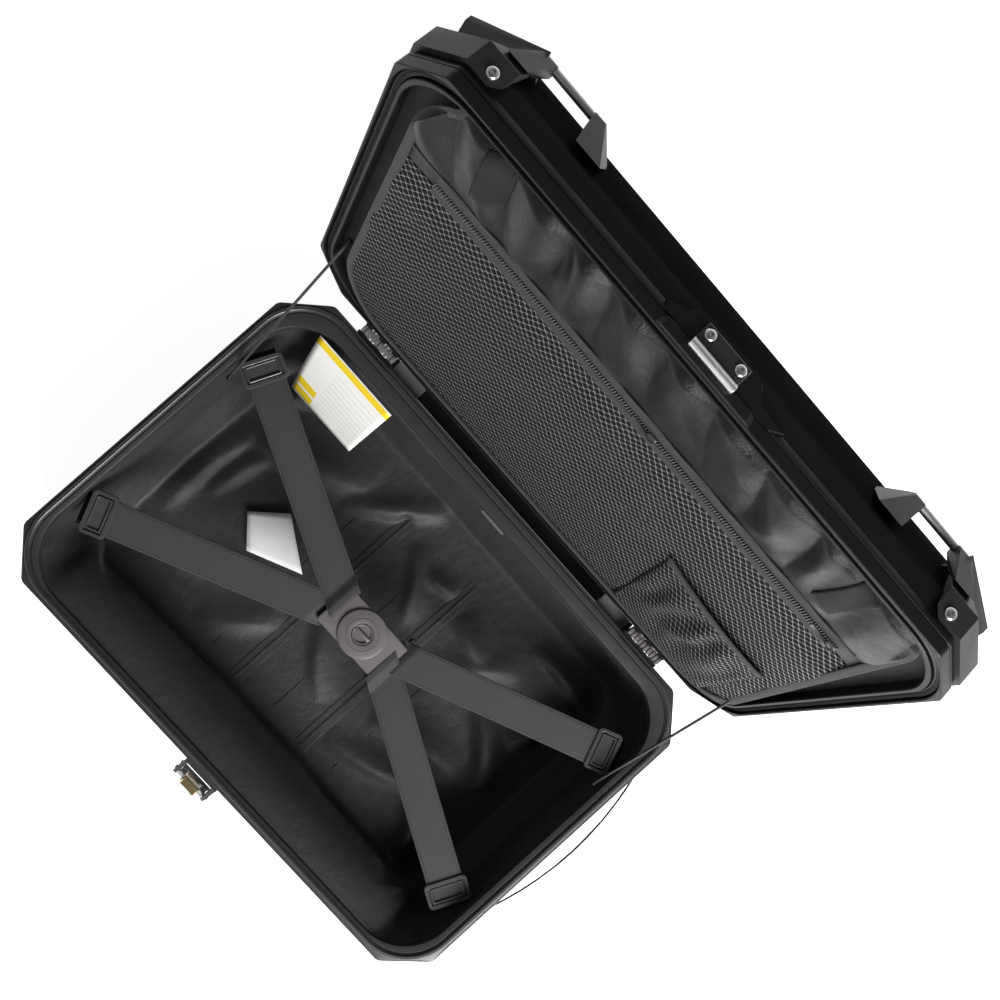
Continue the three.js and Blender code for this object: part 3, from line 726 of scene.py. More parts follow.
def pairs_of(rows, columns):
    """Slices that pair up neighbouring grid points so that no point is in one pairing twice."""
    pairs = []
    for start in (0, 1):
        pairs.append((np.s_[:, start : columns - 1 : 2], np.s_[:, start + 1 : columns : 2], 1.0))
        pairs.append((np.s_[start : rows - 1 : 2, :], np.s_[start + 1 : rows : 2, :], 1.0))
    for r in (0, 1):
        for c in (0, 1):
            up, down = np.s_[r : rows - 1 : 2], np.s_[r + 1 : rows : 2]
            left, right = np.s_[c : columns - 1 : 2], np.s_[c + 1 : columns : 2]
            pairs += [((up, left), (down, right), 0.45), ((up, right), (down, left), 0.45)]
    return pairs


def bends_of(rows, columns, span):
    """Slices that pair up points `span` cells apart, which keep the cloth from folding too sharply."""
    pairs = []
    for start in range(2 * span):
        on = start + span
        pairs.append((np.s_[:, start : columns - span : 2 * span], np.s_[:, on : columns : 2 * span]))
        pairs.append((np.s_[start : rows - span : 2 * span, :], np.s_[on : rows : 2 * span, :]))
    return pairs


def pull(spot, weight, first, second, length, share, bend=False):
    """Moves paired points towards their distance in the cut cloth; a bend only pushes them apart."""
    a, b = spot[first], spot[second]
    gap = b - a
    size = np.sqrt(np.einsum("ijk,ijk->ij", gap, gap)) + 1e-9
    heavy, light = weight[first], weight[second]
    move = share * (1 - length / size) / np.maximum(heavy + light, 1e-9)
    if bend:
        move = np.minimum(move, 0)
    move = move[..., None] * gap
    a += move * heavy[..., None]
    b -= move * light[..., None]


def keep_in_shell(spot):
    """Keeps points above the floor and inside the base shell's bevelled walls."""
    spot[..., 2] = np.maximum(spot[..., 2], FLOOR_LINE[3])
    up = np.clip((spot[..., 2] - FLOOR_LINE[3]) / BEVEL_HIGH, 0, 1)
    half_x, half_y, radius = (low + more * up for low, more in zip(ROOM, BEVEL_ADDS))
    over = np.stack([abs(spot[..., 0]) - half_x + radius, abs(spot[..., 1]) - half_y + radius], axis=-1)
    out = np.maximum(over, 0)
    size = np.sqrt((out**2).sum(-1)) + 1e-9
    beyond = np.maximum(size + np.minimum(over.max(-1), 0) - radius, 0)
    spot[..., :2] -= (beyond / size)[..., None] * out * np.sign(spot[..., :2])


def creases(spot):
    """Height of the pressed creases, each steeper on one side, fading out up the walls."""
    x, y, z = spot[..., 0], spot[..., 1], spot[..., 2]
    height = np.zeros_like(z)
    for k, ((x0, y0), (x1, y1), tall, wide) in enumerate(CREASES):
        long = math.hypot(x1 - x0, y1 - y0)
        along = ((x - x0) * (x1 - x0) + (y - y0) * (y1 - y0)) / long**2
        aside = ((y - y0) * (x1 - x0) - (x - x0) * (y1 - y0)) / long
        aside = aside + 7 * np.sin(along * 3.1 + k)
        reach = np.where(aside > 0, wide, wide * 0.45)
        taper = np.sin(math.pi * np.clip(along, 0, 1)) ** 0.8
        height = np.maximum(height, tall * taper * np.exp(-((aside / reach) ** 2)))
    return height * np.clip((70 - z) / 50, 0, 1)


def settled_lining():
    tub = tub_points()
    rows, columns = tub.shape[:2]
    x, y, z = tub[..., 0], tub[..., 1], tub[..., 2]
    random = np.random.default_rng(11)
    waves = random.normal(size=(WAVES, 2)) * 0.026
    phases = random.uniform(0, 2 * math.pi, WAVES)
    loose = sum(np.sin(x * w[0] + y * w[1] + z * 0.02 + p) for w, p in zip(waves, phases)) / 5
    weight = np.ones((rows, columns))
    weight[[0, -1], :] = 0
    weight[:, [0, -1]] = 0
    for strip in ZIP_STRIPS:
        weight[(abs(x - strip) < 10) & (y > -132) & (y < 122) & (z < 10)] = 0
    front = np.clip((-y - 125) / 30, 0, 1) * (z > 9.5)
    ring_i = np.minimum(np.arange(columns), columns - 1 - np.arange(columns))[None, :]
    ring_j = np.minimum(np.arange(rows), rows - 1 - np.arange(rows))[:, None]
    wall = np.minimum(ring_i, ring_j) < WALL_CELLS
    down_i, down_j = wall & (ring_i <= ring_j), wall & (ring_j < ring_i)
    fall = 0.03 + 0.02 * loose * (1 - front) - 0.022 * front
    slack_i = 1.006 + np.where(down_i, fall, 0.012 * wall * (1 + loose) * (1 - front))
    slack_j = 1.006 + np.where(down_j, fall, 0.012 * wall * (1 + loose))
    blow = np.zeros_like(tub)  # what moves each point, mm/s2
    blow[..., 1] = FRONT_PRESS * front
    blow[..., 2] = -SINK * (1 - 1.1 * front)
    spot = tub.copy()
    spot[..., 2] += np.where(weight > 0, 3 + 2 * loose, 0)
    spot[..., 0] += np.where(weight > 0, 1.5 * np.sin(y / 17 + 3 * loose), 0)
    links = []
    for first, second, share in pairs_of(rows, columns):
        slack = slack_i if first[0] == slice(None) else slack_j
        if share == 1:
            slack = np.minimum(slack[first], slack[second])
        else:
            slack = (slack_i[first] + slack_j[second]) / 2
        rest = np.linalg.norm(tub[second] - tub[first], axis=-1) * slack
        links.append((first, second, rest, share, False))
    for span, share in ((2, 0.4), (4, 0.25), (8, 0.15)):
        for first, second in bends_of(rows, columns, span):
            rest = np.linalg.norm(tub[second] - tub[first], axis=-1)
            links.append((first, second, rest, share, True))
    speed = np.zeros_like(spot)
    for _ in range(STEPS):
        before = spot.copy()
        speed += blow * STEP_S
        spot += speed * STEP_S * (weight > 0)[..., None]
        for _ in range(ROUNDS):
            for first, second, rest, share, bend in links:
                pull(spot, weight, first, second, rest, share, bend)
            keep_in_shell(spot)
        speed = (spot - before) / STEP_S * DRAG
        speed[spot[..., 2] < FLOOR_Z] *= 0.3
    spot[..., 2] += creases(spot) * np.clip(weight, 0, 1)
    return spot


def add_liner():
    spot = settled_lining()
    rows, columns = spot.shape[:2]
    faces = grid_faces(rows, columns)
    liner = make("lining_tub", spot.reshape(-1, 3), faces, "liner", "base", outward=False, angle=180)
    smooth = liner.modifiers.new("smooth", "SUBSURF")
    smooth.levels = smooth.render_levels = 1
    thicken(liner, 0.8)
    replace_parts(liner, "base_liner")


# ---- straps ----
CORNERS = (
    ("front_left", -1, -1),
    ("front_right", 1, -1),
    ("rear_left", -1, 1),
    ("rear_right", 1, 1),
)
TOP_STRAPS = ("rear_left", "front_right")  # these pass over the plate's end bars, the other two under them
PLATE = (3, 5)  # centre of the cross plate
SLOT_OUT = 32.5  # from the plate's centre to its strap slots
WEB_WIDTH = 38
WEB_THICK = 1.6
BUCKLE = (27, 23)  # length and half width
BUCKLE_NEAR = 36  # from the end of a strap's line back to the buckle's near end
TAB_LONG = 30  # webbing between the buckle and the case wall


def strap_line(sx, sy):
    """Start and end of a strap's straight run, as the frame has it."""
    start = np.array([PLATE[0] + sx * 54.5, PLATE[1] + sy * 16, STRAP_Z + (1.2 if sy > 0 else -1.2)])
    end = np.array([sx * 282, sy * 118, start[2] + 7])
    return start, end


def eased_step(t):
    t = min(1, max(0, t))
    return t * t * (3 - 2 * t)


def strap_sheet(name, start, run, length, sx, over):
    """A strap as a closed grid whose plate end is cut parallel to the plate's own end."""
    side = np.cross(run, (0, 0, 1))
    side /= np.linalg.norm(side)
    up = np.cross(side, run)
    slot = PLATE[0] + sx * (SLOT_OUT if over else SLOT_OUT + 3)
    steps = np.concatenate([np.linspace(0, 30, 31), np.linspace(34, length, 60)])
    section = strip_section(WEB_WIDTH, WEB_THICK, 11)
    rings, tape = [], []
    for step in steps:
        ring = []
        for across, thick in section:
            first = (slot - start[0] - side[0] * across) / run[0]
            along = first + (length - first) * step / length
            spot = start + run * along + side * across
            out = abs(spot[0] - slot)
            if over:
                lift = 5.2 * min(1, out / 2.5) * (1 - eased_step((out - 8) / 12)) - 1.0 * (out < 0.5)
            else:
                lift = -4.6 * (1 - eased_step((out - 3) / 14))
            ring.append(spot + up * (thick + lift))
            tape.append((along, across))
        rings.append(ring)
    return make(name, *loft([np.array(r) for r in rings]), "webbing", "base", angle=50, tape=tape)


def add_straps():
    for name, sx, sy in CORNERS:
        start, end = strap_line(sx, sy)
        length = np.linalg.norm(end - start)
        run = (end - start) / length
        over = name in TOP_STRAPS
        strap = strap_sheet("strap_" + name + "_webbing", start, run, length - 13.5, sx, over)
        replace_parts(strap, "strap_" + name)
        path = [
            start + run * t + (0, 0, -1.6 - 0.25 * (t - length + TAB_LONG))
            for t in np.linspace(length - TAB_LONG, length - 3, 8)
        ]
        swept("strap_tab_" + name, path, strip_section(WEB_WIDTH - 3, 1.4, 9), "tab", "base")
        add_buckle(name, start, run, length)


def add_buckle(name, start, run, length):
    """Rectangular slide buckle: a rounded frame with a raised line round its window."""
    side = np.cross(run, (0, 0, 1))
    side /= np.linalg.norm(side)
    up = np.cross(side, run)
    near = length - BUCKLE_NEAR

    def at(along, across, height):
        return start + run * (near + along) + side * across + up * height

    long, half = BUCKLE
    outline = rounded(long / 2, half, 5)
    hole = rounded(long / 2 - 4.6, half - 4, 1.4)
    section = [(outline, 0, -1.8), (outline, 0, 2.4), (outline, -0.6, 3.1), (hole, 0.9, 3.1)]
    section += [(hole, 0.5, 2.3), (hole, 0, 2.1), (hole, 0, -1.8)]
    rings = []
    for ring, grow, z in section:
        scale = np.array([1 + grow / (long / 2), 1 + grow / half])
        rings.append(np.array([at(long / 2 + x, y, z) for x, y in ring * scale]))
    line = [
        np.array([at(long / 2 + x, y, z) for x, y in rounded(long / 2 - k, half - k, 1.2)])
        for k, z in ((5.4, 1.0), (5.4, 2.5), (5.9, 2.8), (6.9, 2.8), (7.3, 2.5), (7.3, 1.0))
    ]
    verts, faces = merged([loft(rings, closed=True), loft(line, closed=True)])
    body = f"slider_{name[0]}{name.split('_')[1][0]}"
    buckle = make("buckle_" + name, verts, faces, "buckle", body, angle=25)
    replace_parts(buckle, "slider_" + name)


def add_plate():
    """Cross plate with a strap slot at each end, a domed disc with a ring line, and its release knob."""
    half_x, half_y, low, high = 43.5, 24, STRAP_Z - 3.5, STRAP_Z + 3.5
    outline = rounded(half_x, half_y, 2.4)
    edges = ((0.97, low), (1, low + 1), (1, high - 1.4), (0.985, high - 0.3), (0.95, high))
    slab = loft([level(outline * k + PLATE, z) for k, z in edges])
    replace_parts(make("cross_plate_slab", *slab, "plate", "base"), "cross_plate")
    on_plate = Matrix.Translation((*PLATE, high))
    dome = [(26, -1), (26, 1.6), (25.3, 2.6), (24, 3), (17.3, 3.5), (17.1, 3.1), (16.7, 3.1), (16.5, 3.6)]
    dome += [(12.2, 3.9), (11.5, 3.6), (11.4, -1), (11.4, -1.5)]
    verts, faces = lathe(dome, 96)
    make("cross_plate_disc", placed(verts, on_plate), faces, "plate", "base")
    knob = [(10.9, -1.7), (10.9, 2.6), (10.2, 3.1), (9.4, 2.9), (8.6, 1.2), (0.01, 0.9)]
    verts, faces = lathe(knob, 64)
    turned = make("release_knob_cup", placed(verts, on_plate), faces, "plate", "knob")
    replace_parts(turned, "release_knob")
    heights = ((1, high + 0.5), (1, high + 3.2), (0.8, high + 3.9))
    bar = [level(rounded(9.6 * s, 1.9 * s, 1.8 * s) + PLATE, z) for s, z in heights]
    make("release_knob_bar", *loft(bar), "plate", "knob")


# ---- base fittings ----
FLOOR_TAPE, FLOOR_TEETH = 17, 3.6  # width over both tapes of a floor zip, and of its teeth
LID_TAPE, LID_TEETH = 27, 6.4
HINGES = (("left", -226), ("right", 180))  # lower x end of each hinge
HINGE_LONG = 46
RIB_PITCH = 4.6
ARM_PITCH = 18.4
LEAF_Y = 206.8  # middle of the wall leaf
BEAD = (213, 131.4)  # centre of the ribbed bead in the slot between the rims
RIB = ((-1.9, 0.86), (-1.5, 1), (1.5, 1), (1.9, 0.86))  # offset along a hinge rib and share of its radius
ARM = ((0.4, 0.97), (0.8, 1), (8.1, 1), (8.5, 0.97))  # offset along an arm and share of its outline


def add_floor_zips():
    for name, x in (("left", -92), ("middle", 2), ("right", 96)):
        seam = np.array([(x, y, FLOOR_Z + 0.1) for y in np.linspace(-128, 118, 30)])
        swept("floor_seam_" + name, seam, strip_section(1.3, 0.7, 3), "tab", "base")
    for name, x, puller_y in (("left", ZIP_STRIPS[0], -12), ("right", ZIP_STRIPS[1], 10)):
        path = np.array([(x, y, FLOOR_Z + 0.4) for y in np.linspace(-135, 125, 60)])
        node = "floor_zip_" + name
        add_zip(node, path, (0, 0, 1), "base", BASE, FLOOR_TAPE, "liner", FLOOR_TEETH)
        tab, body, node = (f"floor_{word}_{name}" for word in ("pull_tab", "pull", "puller"))
        add_puller(tab, (x, puller_y, FLOOR_Z + 1.4), (0, 1, 0), (0, 0, 1), body, BASE, node, 26)


def add_papers():
    """The card leaning on the lining in the rear left corner, and the tag on its floor."""
    corners = ((-238, 121, 52), (-148, 121, 52), (-143, 176, 120), (-249, 176, 120))
    verts, tape, count = [], [], 16
    for v, u, spot in spread_over(corners, count, count):
        bow = 5 * math.sin(math.pi * v) * (0.6 + 0.4 * u)
        verts.append(spot + np.array([0, -0.78, 0.62]) * (bow + 1))
        tape.append((u / MM, v / MM))
    faces = grid_faces(count, count)
    card = make("label_card_sheet", verts, faces, "card", "base", tape=tape, outward=False)
    thicken(card, 0.3)
    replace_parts(card, "label_card")
    corners = ((-174, -4), (-143, -33), (-84, -6), (-141, 29))
    verts, count = [], 9
    for v, u, (x, y) in spread_over(corners, count, count):
        verts.append((x, y, FLOOR_Z + 6 + 1.6 * math.sin(2 * u + v)))
    tag = thicken(make("care_tag", verts, grid_faces(count, count), "tag", "base", outward=False), 0.4)


def round_hull(circles, count=24):
    """Convex outline round several circles of (y, z, radius)."""
    points = np.vstack([arc(y, z, r, 0, 360, count) for y, z, r in circles])
    points = points[np.lexsort((points[:, 1], points[:, 0]))]
    sides = []
    for run in (points, points[::-1]):
        side = []
        for p in run:
            while len(side) > 1 and np.cross(side[-1] - side[-2], p - side[-2]) <= 0:
                side.pop()
            side.append(p)
        sides += side[:-1]
    return np.array(sides)


def add_hinge_base(name, start):
    """Wall leaf, ribbed bead with three arms up to the pin, and the pad beside it. The ribs and the pad are
    a pale plastic whose grey is a painted highlight.
    """
    middle = start + HINGE_LONG / 2
    edges = ((0.6, 106), (0, 106.8), (0, 125.2), (0.6, 126))
    leaf = [level(rounded(24.8 - k, 1.5, 0.6) + (middle, LEAF_Y), z) for k, z in edges]
    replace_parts(make(f"hinge_leaf_{name}", *loft(leaf), "frame", "base"), f"hinge_{name}_base")

    def slice_at(x, ring):
        return np.column_stack([np.full(len(ring), x), ring])

    ribs, ring = [], round_section(5, 24)
    for x in np.arange(start + RIB_PITCH / 2, start + HINGE_LONG, RIB_PITCH):
        ribs.append(loft([slice_at(x + d, ring * k + BEAD) for d, k in RIB]))
    # Pale rib plastic: its grey is a painted highlight
    make("hinge_ribs_" + name, *merged(ribs), "barrel", "base")
    arms = []
    for circles in ([(LEAF_Y, 116, 1.2), (213, 130, 3.5)], [(216, 131.4, 1.6), (222.5, 143.8, 5)]):
        arm = round_hull(circles)
        centre = arm.mean(0)
        for x in (start, start + ARM_PITCH, start + 2 * ARM_PITCH):
            arms.append(loft([slice_at(x + d, centre + (arm - centre) * k) for d, k in ARM]))
    make("hinge_arms_" + name, *merged(arms), "frame", "base")
    inner = math.copysign(1, middle)
    # The pad's pale plastic is a painted highlight; the spacer keeps the black frame plastic
    for piece, look, x, half in (("pad", "pad", 159, 19.4), ("spacer", "frame", 180, 2.4)):
        block = [level(rounded(half, 6.6, 1.4) + (inner * x, 212.6), z) for z in (105, 113.5)]
        make(f"hinge_{piece}_{name}", *loft(block), look, "base")


def add_base_fittings():
    for name in ("left", "right"):
        refined(f"hinge_{name}_pin", "steel", 0.3, 1, 60)
        refined("latch_pin_" + name, "steel", 0.3, 1, 60)
    refined("latch_housing", "rough_cover", 0.5)
    refined("latch_lever", "satin_steel", 0.7, 3)
    refined("lock_cylinder", "steel", 0.3)
    refined("hook_pin", "steel", 0.2, 1, 60)
    refined("latch_hook", "brass", 0.3)
    refined("side_handle", "rubber", 0.2, 1, 60)
    refined("stand_foot", "rubber", 1.8, 3)
    for name, start in HINGES:
        add_hinge_base(name, start)
    badge = [level(rounded(17 * k, 4.5 * k, 3), z) for k, z in ((1, 0), (1, 0.7), (0.96, 1))]
    verts, faces = loft(badge)
    lean = Matrix.Translation((5, 180.5, 113)) @ Matrix.Rotation(math.radians(80), 4, "X")
    make("wall_badge", placed(verts, lean), faces, "barrel", "base")


# ---- lid ----
MOUTH = (286, 193, 56)  # half length, half width and corner radius of the lid frame's opening
SEAT_OUT = (297, 201.5, 60)  # sealing groove in the lid frame
SEAT_IN = (289.5, 196, 55)


def between(a, b, share):
    return tuple(p + (q - p) * share for p, q in zip(a, b))


def add_lid_shell():
    outer = eased([(59, LID_TOP), (52, LID_TOP), (3, 37), (3, 11.8)], 6, 6)
    inner = eased([(4.6, 11.8), (4.6, 37.6), (52.6, LID_TOP - 1.5), (59, LID_TOP - 1.5)], 5, 5)
    rings = [level(octagon(inset, 9), z) for inset, z in outer + inner]
    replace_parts(make("lid_shell_skin", *loft(rings), "shell", "lid", LID), "lid_shell")
    collar = [(3.2, 12), (0.7, 12), (0.4, 12.4), (0.4, 13.4), (2.4, 19), (2.9, 19.6), (3.2, 19.6)]
    rings = [level(octagon(inset - 0.3, 9), z) for inset, z in collar]
    make("lid_collar", *loft(rings, closed=True), "frame", "lid", LID)


def add_lid_frame():
    def grown(size, out, z):
        return level(rounded(size[0] + out, size[1] + out, size[2] + out), z)

    rings = [level(octagon(inset, 9), z) for inset, z in ((0.5, 11.5), (0, 11), (0, 1.1), (0.7, 0.35))]
    seat = [(SEAT_OUT, 0.9, 0.3), (SEAT_OUT, 0, 0.9), (SEAT_OUT, 0, 6), (SEAT_IN, 0, 6), (SEAT_IN, 0, 1)]
    lip = [(SEAT_IN, -0.7, 0.3), (MOUTH, 0.8, 0.3), (MOUTH, 0, 1.1), (MOUTH, 0, 11), (MOUTH, 0.5, 11.5)]
    rings += [grown(*ring) for ring in seat + lip]
    ring = make("lid_frame_ring", *loft(rings, closed=True), "frame", "lid", LID, angle=28)
    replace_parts(ring, "lid_frame")
    bead = [(0.05, 5.8), (0.05, 4.4), (0.18, 3.1), (0.34, 3.9), (0.5, 2.7)]  # share across the seat, height
    bead += [(0.66, 3.9), (0.82, 3.1), (0.95, 4.4), (0.95, 5.8)]
    rings = [level(rounded(*between(SEAT_OUT, SEAT_IN, share)), z) for share, z in bead]
    seal = make("lid_seal_bead", *loft(rings, closed=True), "rubber", "lid", LID, angle=60)
    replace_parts(seal, "lid_seal")
    half_x, half_y, radius = MOUTH
    walls = eased([(0.8, 11.7), (0.8, 34), (-46, 86.5), (-120, 86.5)], 8, 5)
    rings = [level(rounded(half_x + out, half_y + out, max(radius + out * 0.4, 12)), z) for out, z in walls]
    thicken(make("lid_lining", *loft(rings), "hollow", "lid", LID, outward=False), 0.8, -1)


BOSS_EASE = 1.0  # chamfer round the striker's boss


def plate_on_front(name, outline, depth, proud, look):
    """A moulded boss on the lid's front wall from an outline of (x, z) points."""
    points = np.array(outline, float)
    centre = points.mean(0)
    rings = []
    wall = SKIN_IN - HALF_Y
    for shrink, y in ((0, wall - 0.2), (0, wall - depth + BOSS_EASE), (BOSS_EASE, -proud)):
        moved = points + (centre - points) / np.linalg.norm(centre - points, axis=1)[:, None] * shrink
        rings.append(np.column_stack([moved[:, 0], np.full(len(points), y), moved[:, 1]]))
    return make(name, *loft(rings), look, "lid", LID)


def screw(name, spot, axis, r):
    """Button head on the lid with a hexagon socket. Axis points out of the head, `r` is its radius."""
    turn = Vector(axis).to_track_quat("Z", "Y").to_matrix().to_4x4()
    profile = [(r, 0), (r, 0.5), (0.94 * r, 0.28 * r), (0.76 * r, 0.46 * r), (0.48 * r, 0.55 * r)]
    a = np.linspace(0, 2 * math.pi, 48, endpoint=False)
    hexagon = 0.38 * r * math.cos(math.pi / 6) / np.cos((a % (math.pi / 3)) - math.pi / 6)
    profile += [(hexagon, z * r) for z in (0.56, 0.53, 0.2)]
    rings = [np.column_stack([wide * np.cos(a), wide * np.sin(a), np.full(48, z)]) for wide, z in profile]
    verts, faces = loft(rings)
    make(name, placed(verts, Matrix.Translation(spot) @ turn), faces, "steel", "lid", LID)


def add_lid_fittings():
    for name, sx, sy in CORNERS:
        refined("corner_cap_" + name, "cover", 1.3, 3, 20)
        refined("tie_post_" + name, "cover", 1.8, 3, 20)
        refined("tie_bar_" + name, "satin_steel", 0.2, 1, 60)
        screw("cap_screw_" + name, (sx * 244, sy * 207, 27.5), (0, sy, 0), 5.2)
    refined("striker", "satin_steel", 0.5)
    refined("striker_cover", "rough_cover", 0.6)
    for name, x in (("left", -16), ("right", 16)):
        screw("striker_screw_" + name, (x, -209.3, 23.5), (0, -1, 0), 4.9)
    boss = [(-54, 19.5), (-45, 23), (-33, 31.5), (35, 31.5), (45.5, 20.5), (70, 19.6), (60, 12.2)]
    plate_on_front("striker_boss", boss + [(-50, 12.2)], 3.6, 205.9, "frame")
    x, z = np.array([(-50, 1.2), (50, 1.2), (47, 10.8), (-47, 10.8)], float).T
    steps = ((1, 1, -204.6), (0.9, 0.95, -207.6), (0.86, 0.85, -208))
    rings = [np.column_stack([x * k, np.full(4, y), z * j + 6 * (1 - j)]) for k, j, y in steps]
    make("lid_latch_rest", *loft(rings), "frame", "lid", LID)
    for name in ("left", "right"):
        refined(f"hinge_{name}_lid", "frame", 0.5)


# ---- organiser panel ----
PANEL_CORNERS = (((-265.5, -204), 74), ((254, -203), 40), ((284, 190), 50), ((-265.5, 190.5), 64))
INTO_CASE = (0, 0, -1)  # the way the panel faces, on the closed lid
ZIP_Y = -91
ZIP_ENDS = (-232, 240)
MESH_TOP = -84  # where the mesh meets the zip tape


def quadrilateral(corners, inset=0.0):
    """Outline of a four-cornered panel with rounded corners, anticlockwise, `inset` inside it."""
    spots = [np.array(c, float) for c, _ in corners]
    ring = []
    for i, (spot, (_, radius)) in enumerate(zip(spots, corners)):
        back = spots[i - 1] - spot
        on = spots[(i + 1) % len(spots)] - spot
        back /= np.linalg.norm(back)
        on /= np.linalg.norm(on)
        half = math.acos(np.clip(np.dot(back, on), -1, 1)) / 2
        middle = (back + on) / np.linalg.norm(back + on)
        centre = spot + middle * (radius / math.sin(half))
        r = radius - inset
        first, last = math.atan2(back[0], -back[1]), math.atan2(-on[0], on[1])
        if last < first:
            last += 2 * math.pi
        a = np.linspace(first, last, 16)
        ring.append(np.column_stack([centre[0] + r * np.cos(a), centre[1] + r * np.sin(a)]))
    return np.vstack(ring)


def span_at(outline, y):
    """Left and right end of a convex outline at height y."""
    xs = []
    for a, b in zip(outline, np.roll(outline, -1, 0)):
        if (a[1] - y) * (b[1] - y) <= 0 and a[1] != b[1]:
            xs.append(a[0] + (b[0] - a[0]) * (y - a[1]) / (b[1] - a[1]))
    return min(xs), max(xs)


def sheet_over(outline, low, high, rows, columns, height):
    """A grid of points between two rows of an outline, with height(x, y) as its z."""
    verts = []
    for y in np.linspace(low, high, rows):
        left, right = span_at(outline, y)
        verts += [(x, y, height(x, y)) for x in np.linspace(left, right, columns)]
    return verts, grid_faces(rows, columns)


def ripple(x, y, size, seed=0.0):
    return noise.noise(Vector((x / size, y / size, seed)))


def mesh_height(x, y):
    """The mesh sits a little proud and slack below the zip."""
    edge = min(1, max(0, (188 - y) / 40)) * min(1, max(0, (y + 74) / 30))  # 0 at the binding and the zip
    return 2.6 - edge * (2.4 - 1.6 * ripple(x, y, 55, 3))


def cloth_height(x, y):
    """Satin cloth above the zip: folds run to the front rail, where it tucks behind the frame."""
    down = (-106 - y) / 96  # 0 at the zip, 1 at the front rail
    lean = x + 26 * down + 14 * ripple(x, y, 90, 7)
    folds = 2.2 * abs(math.sin(lean / 17 + 2 * ripple(x, 0, 130, 2))) ** 1.3
    folds += 0.6 * math.sin(lean / 8 + 3 * ripple(x, y, 60, 5))
    swell = math.sin(math.pi * min(1, max(0, down))) ** 0.7
    tuck = max(0, down - 0.82) * 60
    return 3 - (5.5 * folds + 1.2) * swell * (0.75 + 0.5 * ripple(x, y, 80, 9)) + tuck


def thicken(piece, thick, offset=0.0):
    modifier = piece.modifiers.new("sheet", "SOLIDIFY")
    modifier.thickness = thick * MM
    modifier.offset = offset
    return piece


def coil_path(path, up, width, height, pitch):
    """A flattened helix along a path: the teeth of a coil zip."""
    lines = frames_along(path, up)
    lengths = np.concatenate([[0], np.cumsum(np.linalg.norm(np.diff(lines[0], axis=0), axis=1))])
    where = np.linspace(0, lengths[-1], int(lengths[-1] / pitch * 10))
    centre, side, normal = (
        np.column_stack([np.interp(where, lengths, line[:, k]) for k in range(3)]) for line in lines
    )
    turn = (where / pitch * 2 * math.pi)[:, None]
    return centre + side * (width / 2 * np.cos(turn)) + normal * (height / 2 * np.sin(turn))


def add_zip(name, path, up, body, at, tape_width, look, teeth):
    """Two tapes and a coil of teeth between them; `name` is the frame's node."""
    path, side, normal = frames_along(path, up)
    section = strip_section(tape_width / 2 - teeth * 0.28, teeth * 0.13, 7)
    for hand, sign in (("a", -1), ("b", 1)):
        centre = path + side * sign * (tape_width / 4 + teeth * 0.14)
        tape = swept(f"{name}_tape_{hand}", centre, section, look, body, at, up)
        if hand == "a":
            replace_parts(tape, name)
    coil = coil_path(path + normal * teeth * 0.17, up, teeth, teeth * 0.31, teeth * 0.41)
    verts, faces, _ = sweep(coil, round_section(teeth * 0.11, 6), up=np.array(up) + (0.001, 0.002, 0.003))
    make(name + "_teeth", verts, faces, "buckle", body, at, 80)


def add_puller(name, spot, along, up, body, at, node, reach=22):
    """Zip slider with its bridge and a tapered pull tab."""
    along, up = Vector(along).normalized(), Vector(up).normalized()
    side = along.cross(up)
    turn = Matrix((along, side, up)).transposed().to_4x4()
    place = Matrix.Translation(spot) @ turn
    edges = ((0.9, 0.9, 0), (1, 1, 0.5), (1, 1, 1.7), (0.92, 0.88, 2.3))
    parts = [loft([level(rounded(5.4 * k, 3.9 * j, 2.2 * j), z) for k, j, z in edges])]
    arch = np.array([(4.2 * math.cos(t), 0, 2.0 + 2.2 * math.sin(t)) for t in np.linspace(0, math.pi, 12)])
    parts.append(sweep(arch, strip_section(2.4, 0.9, 3), up=(0.01, 1, 0.01)))
    tab = []
    widths = [(2.2, 1.6, 4.4), (4, 2.4, 4.6), (9, 2.6, 3.2), (16, 3.1, 1.6)]
    for x, half, z in widths + [(reach - 1.5, 3.1, 1.2), (reach, 2.4, 1.2)]:
        corners = ((-half, -0.5), (half, -0.5), (half, 0.5), (-half, 0.5))
        tab.append(np.array([(x, y, z + h) for y, h in corners]))
    parts.append(loft(tab))
    verts, faces = merged(parts)
    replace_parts(make(name, placed(verts, place), faces, "buckle", body, at), node)


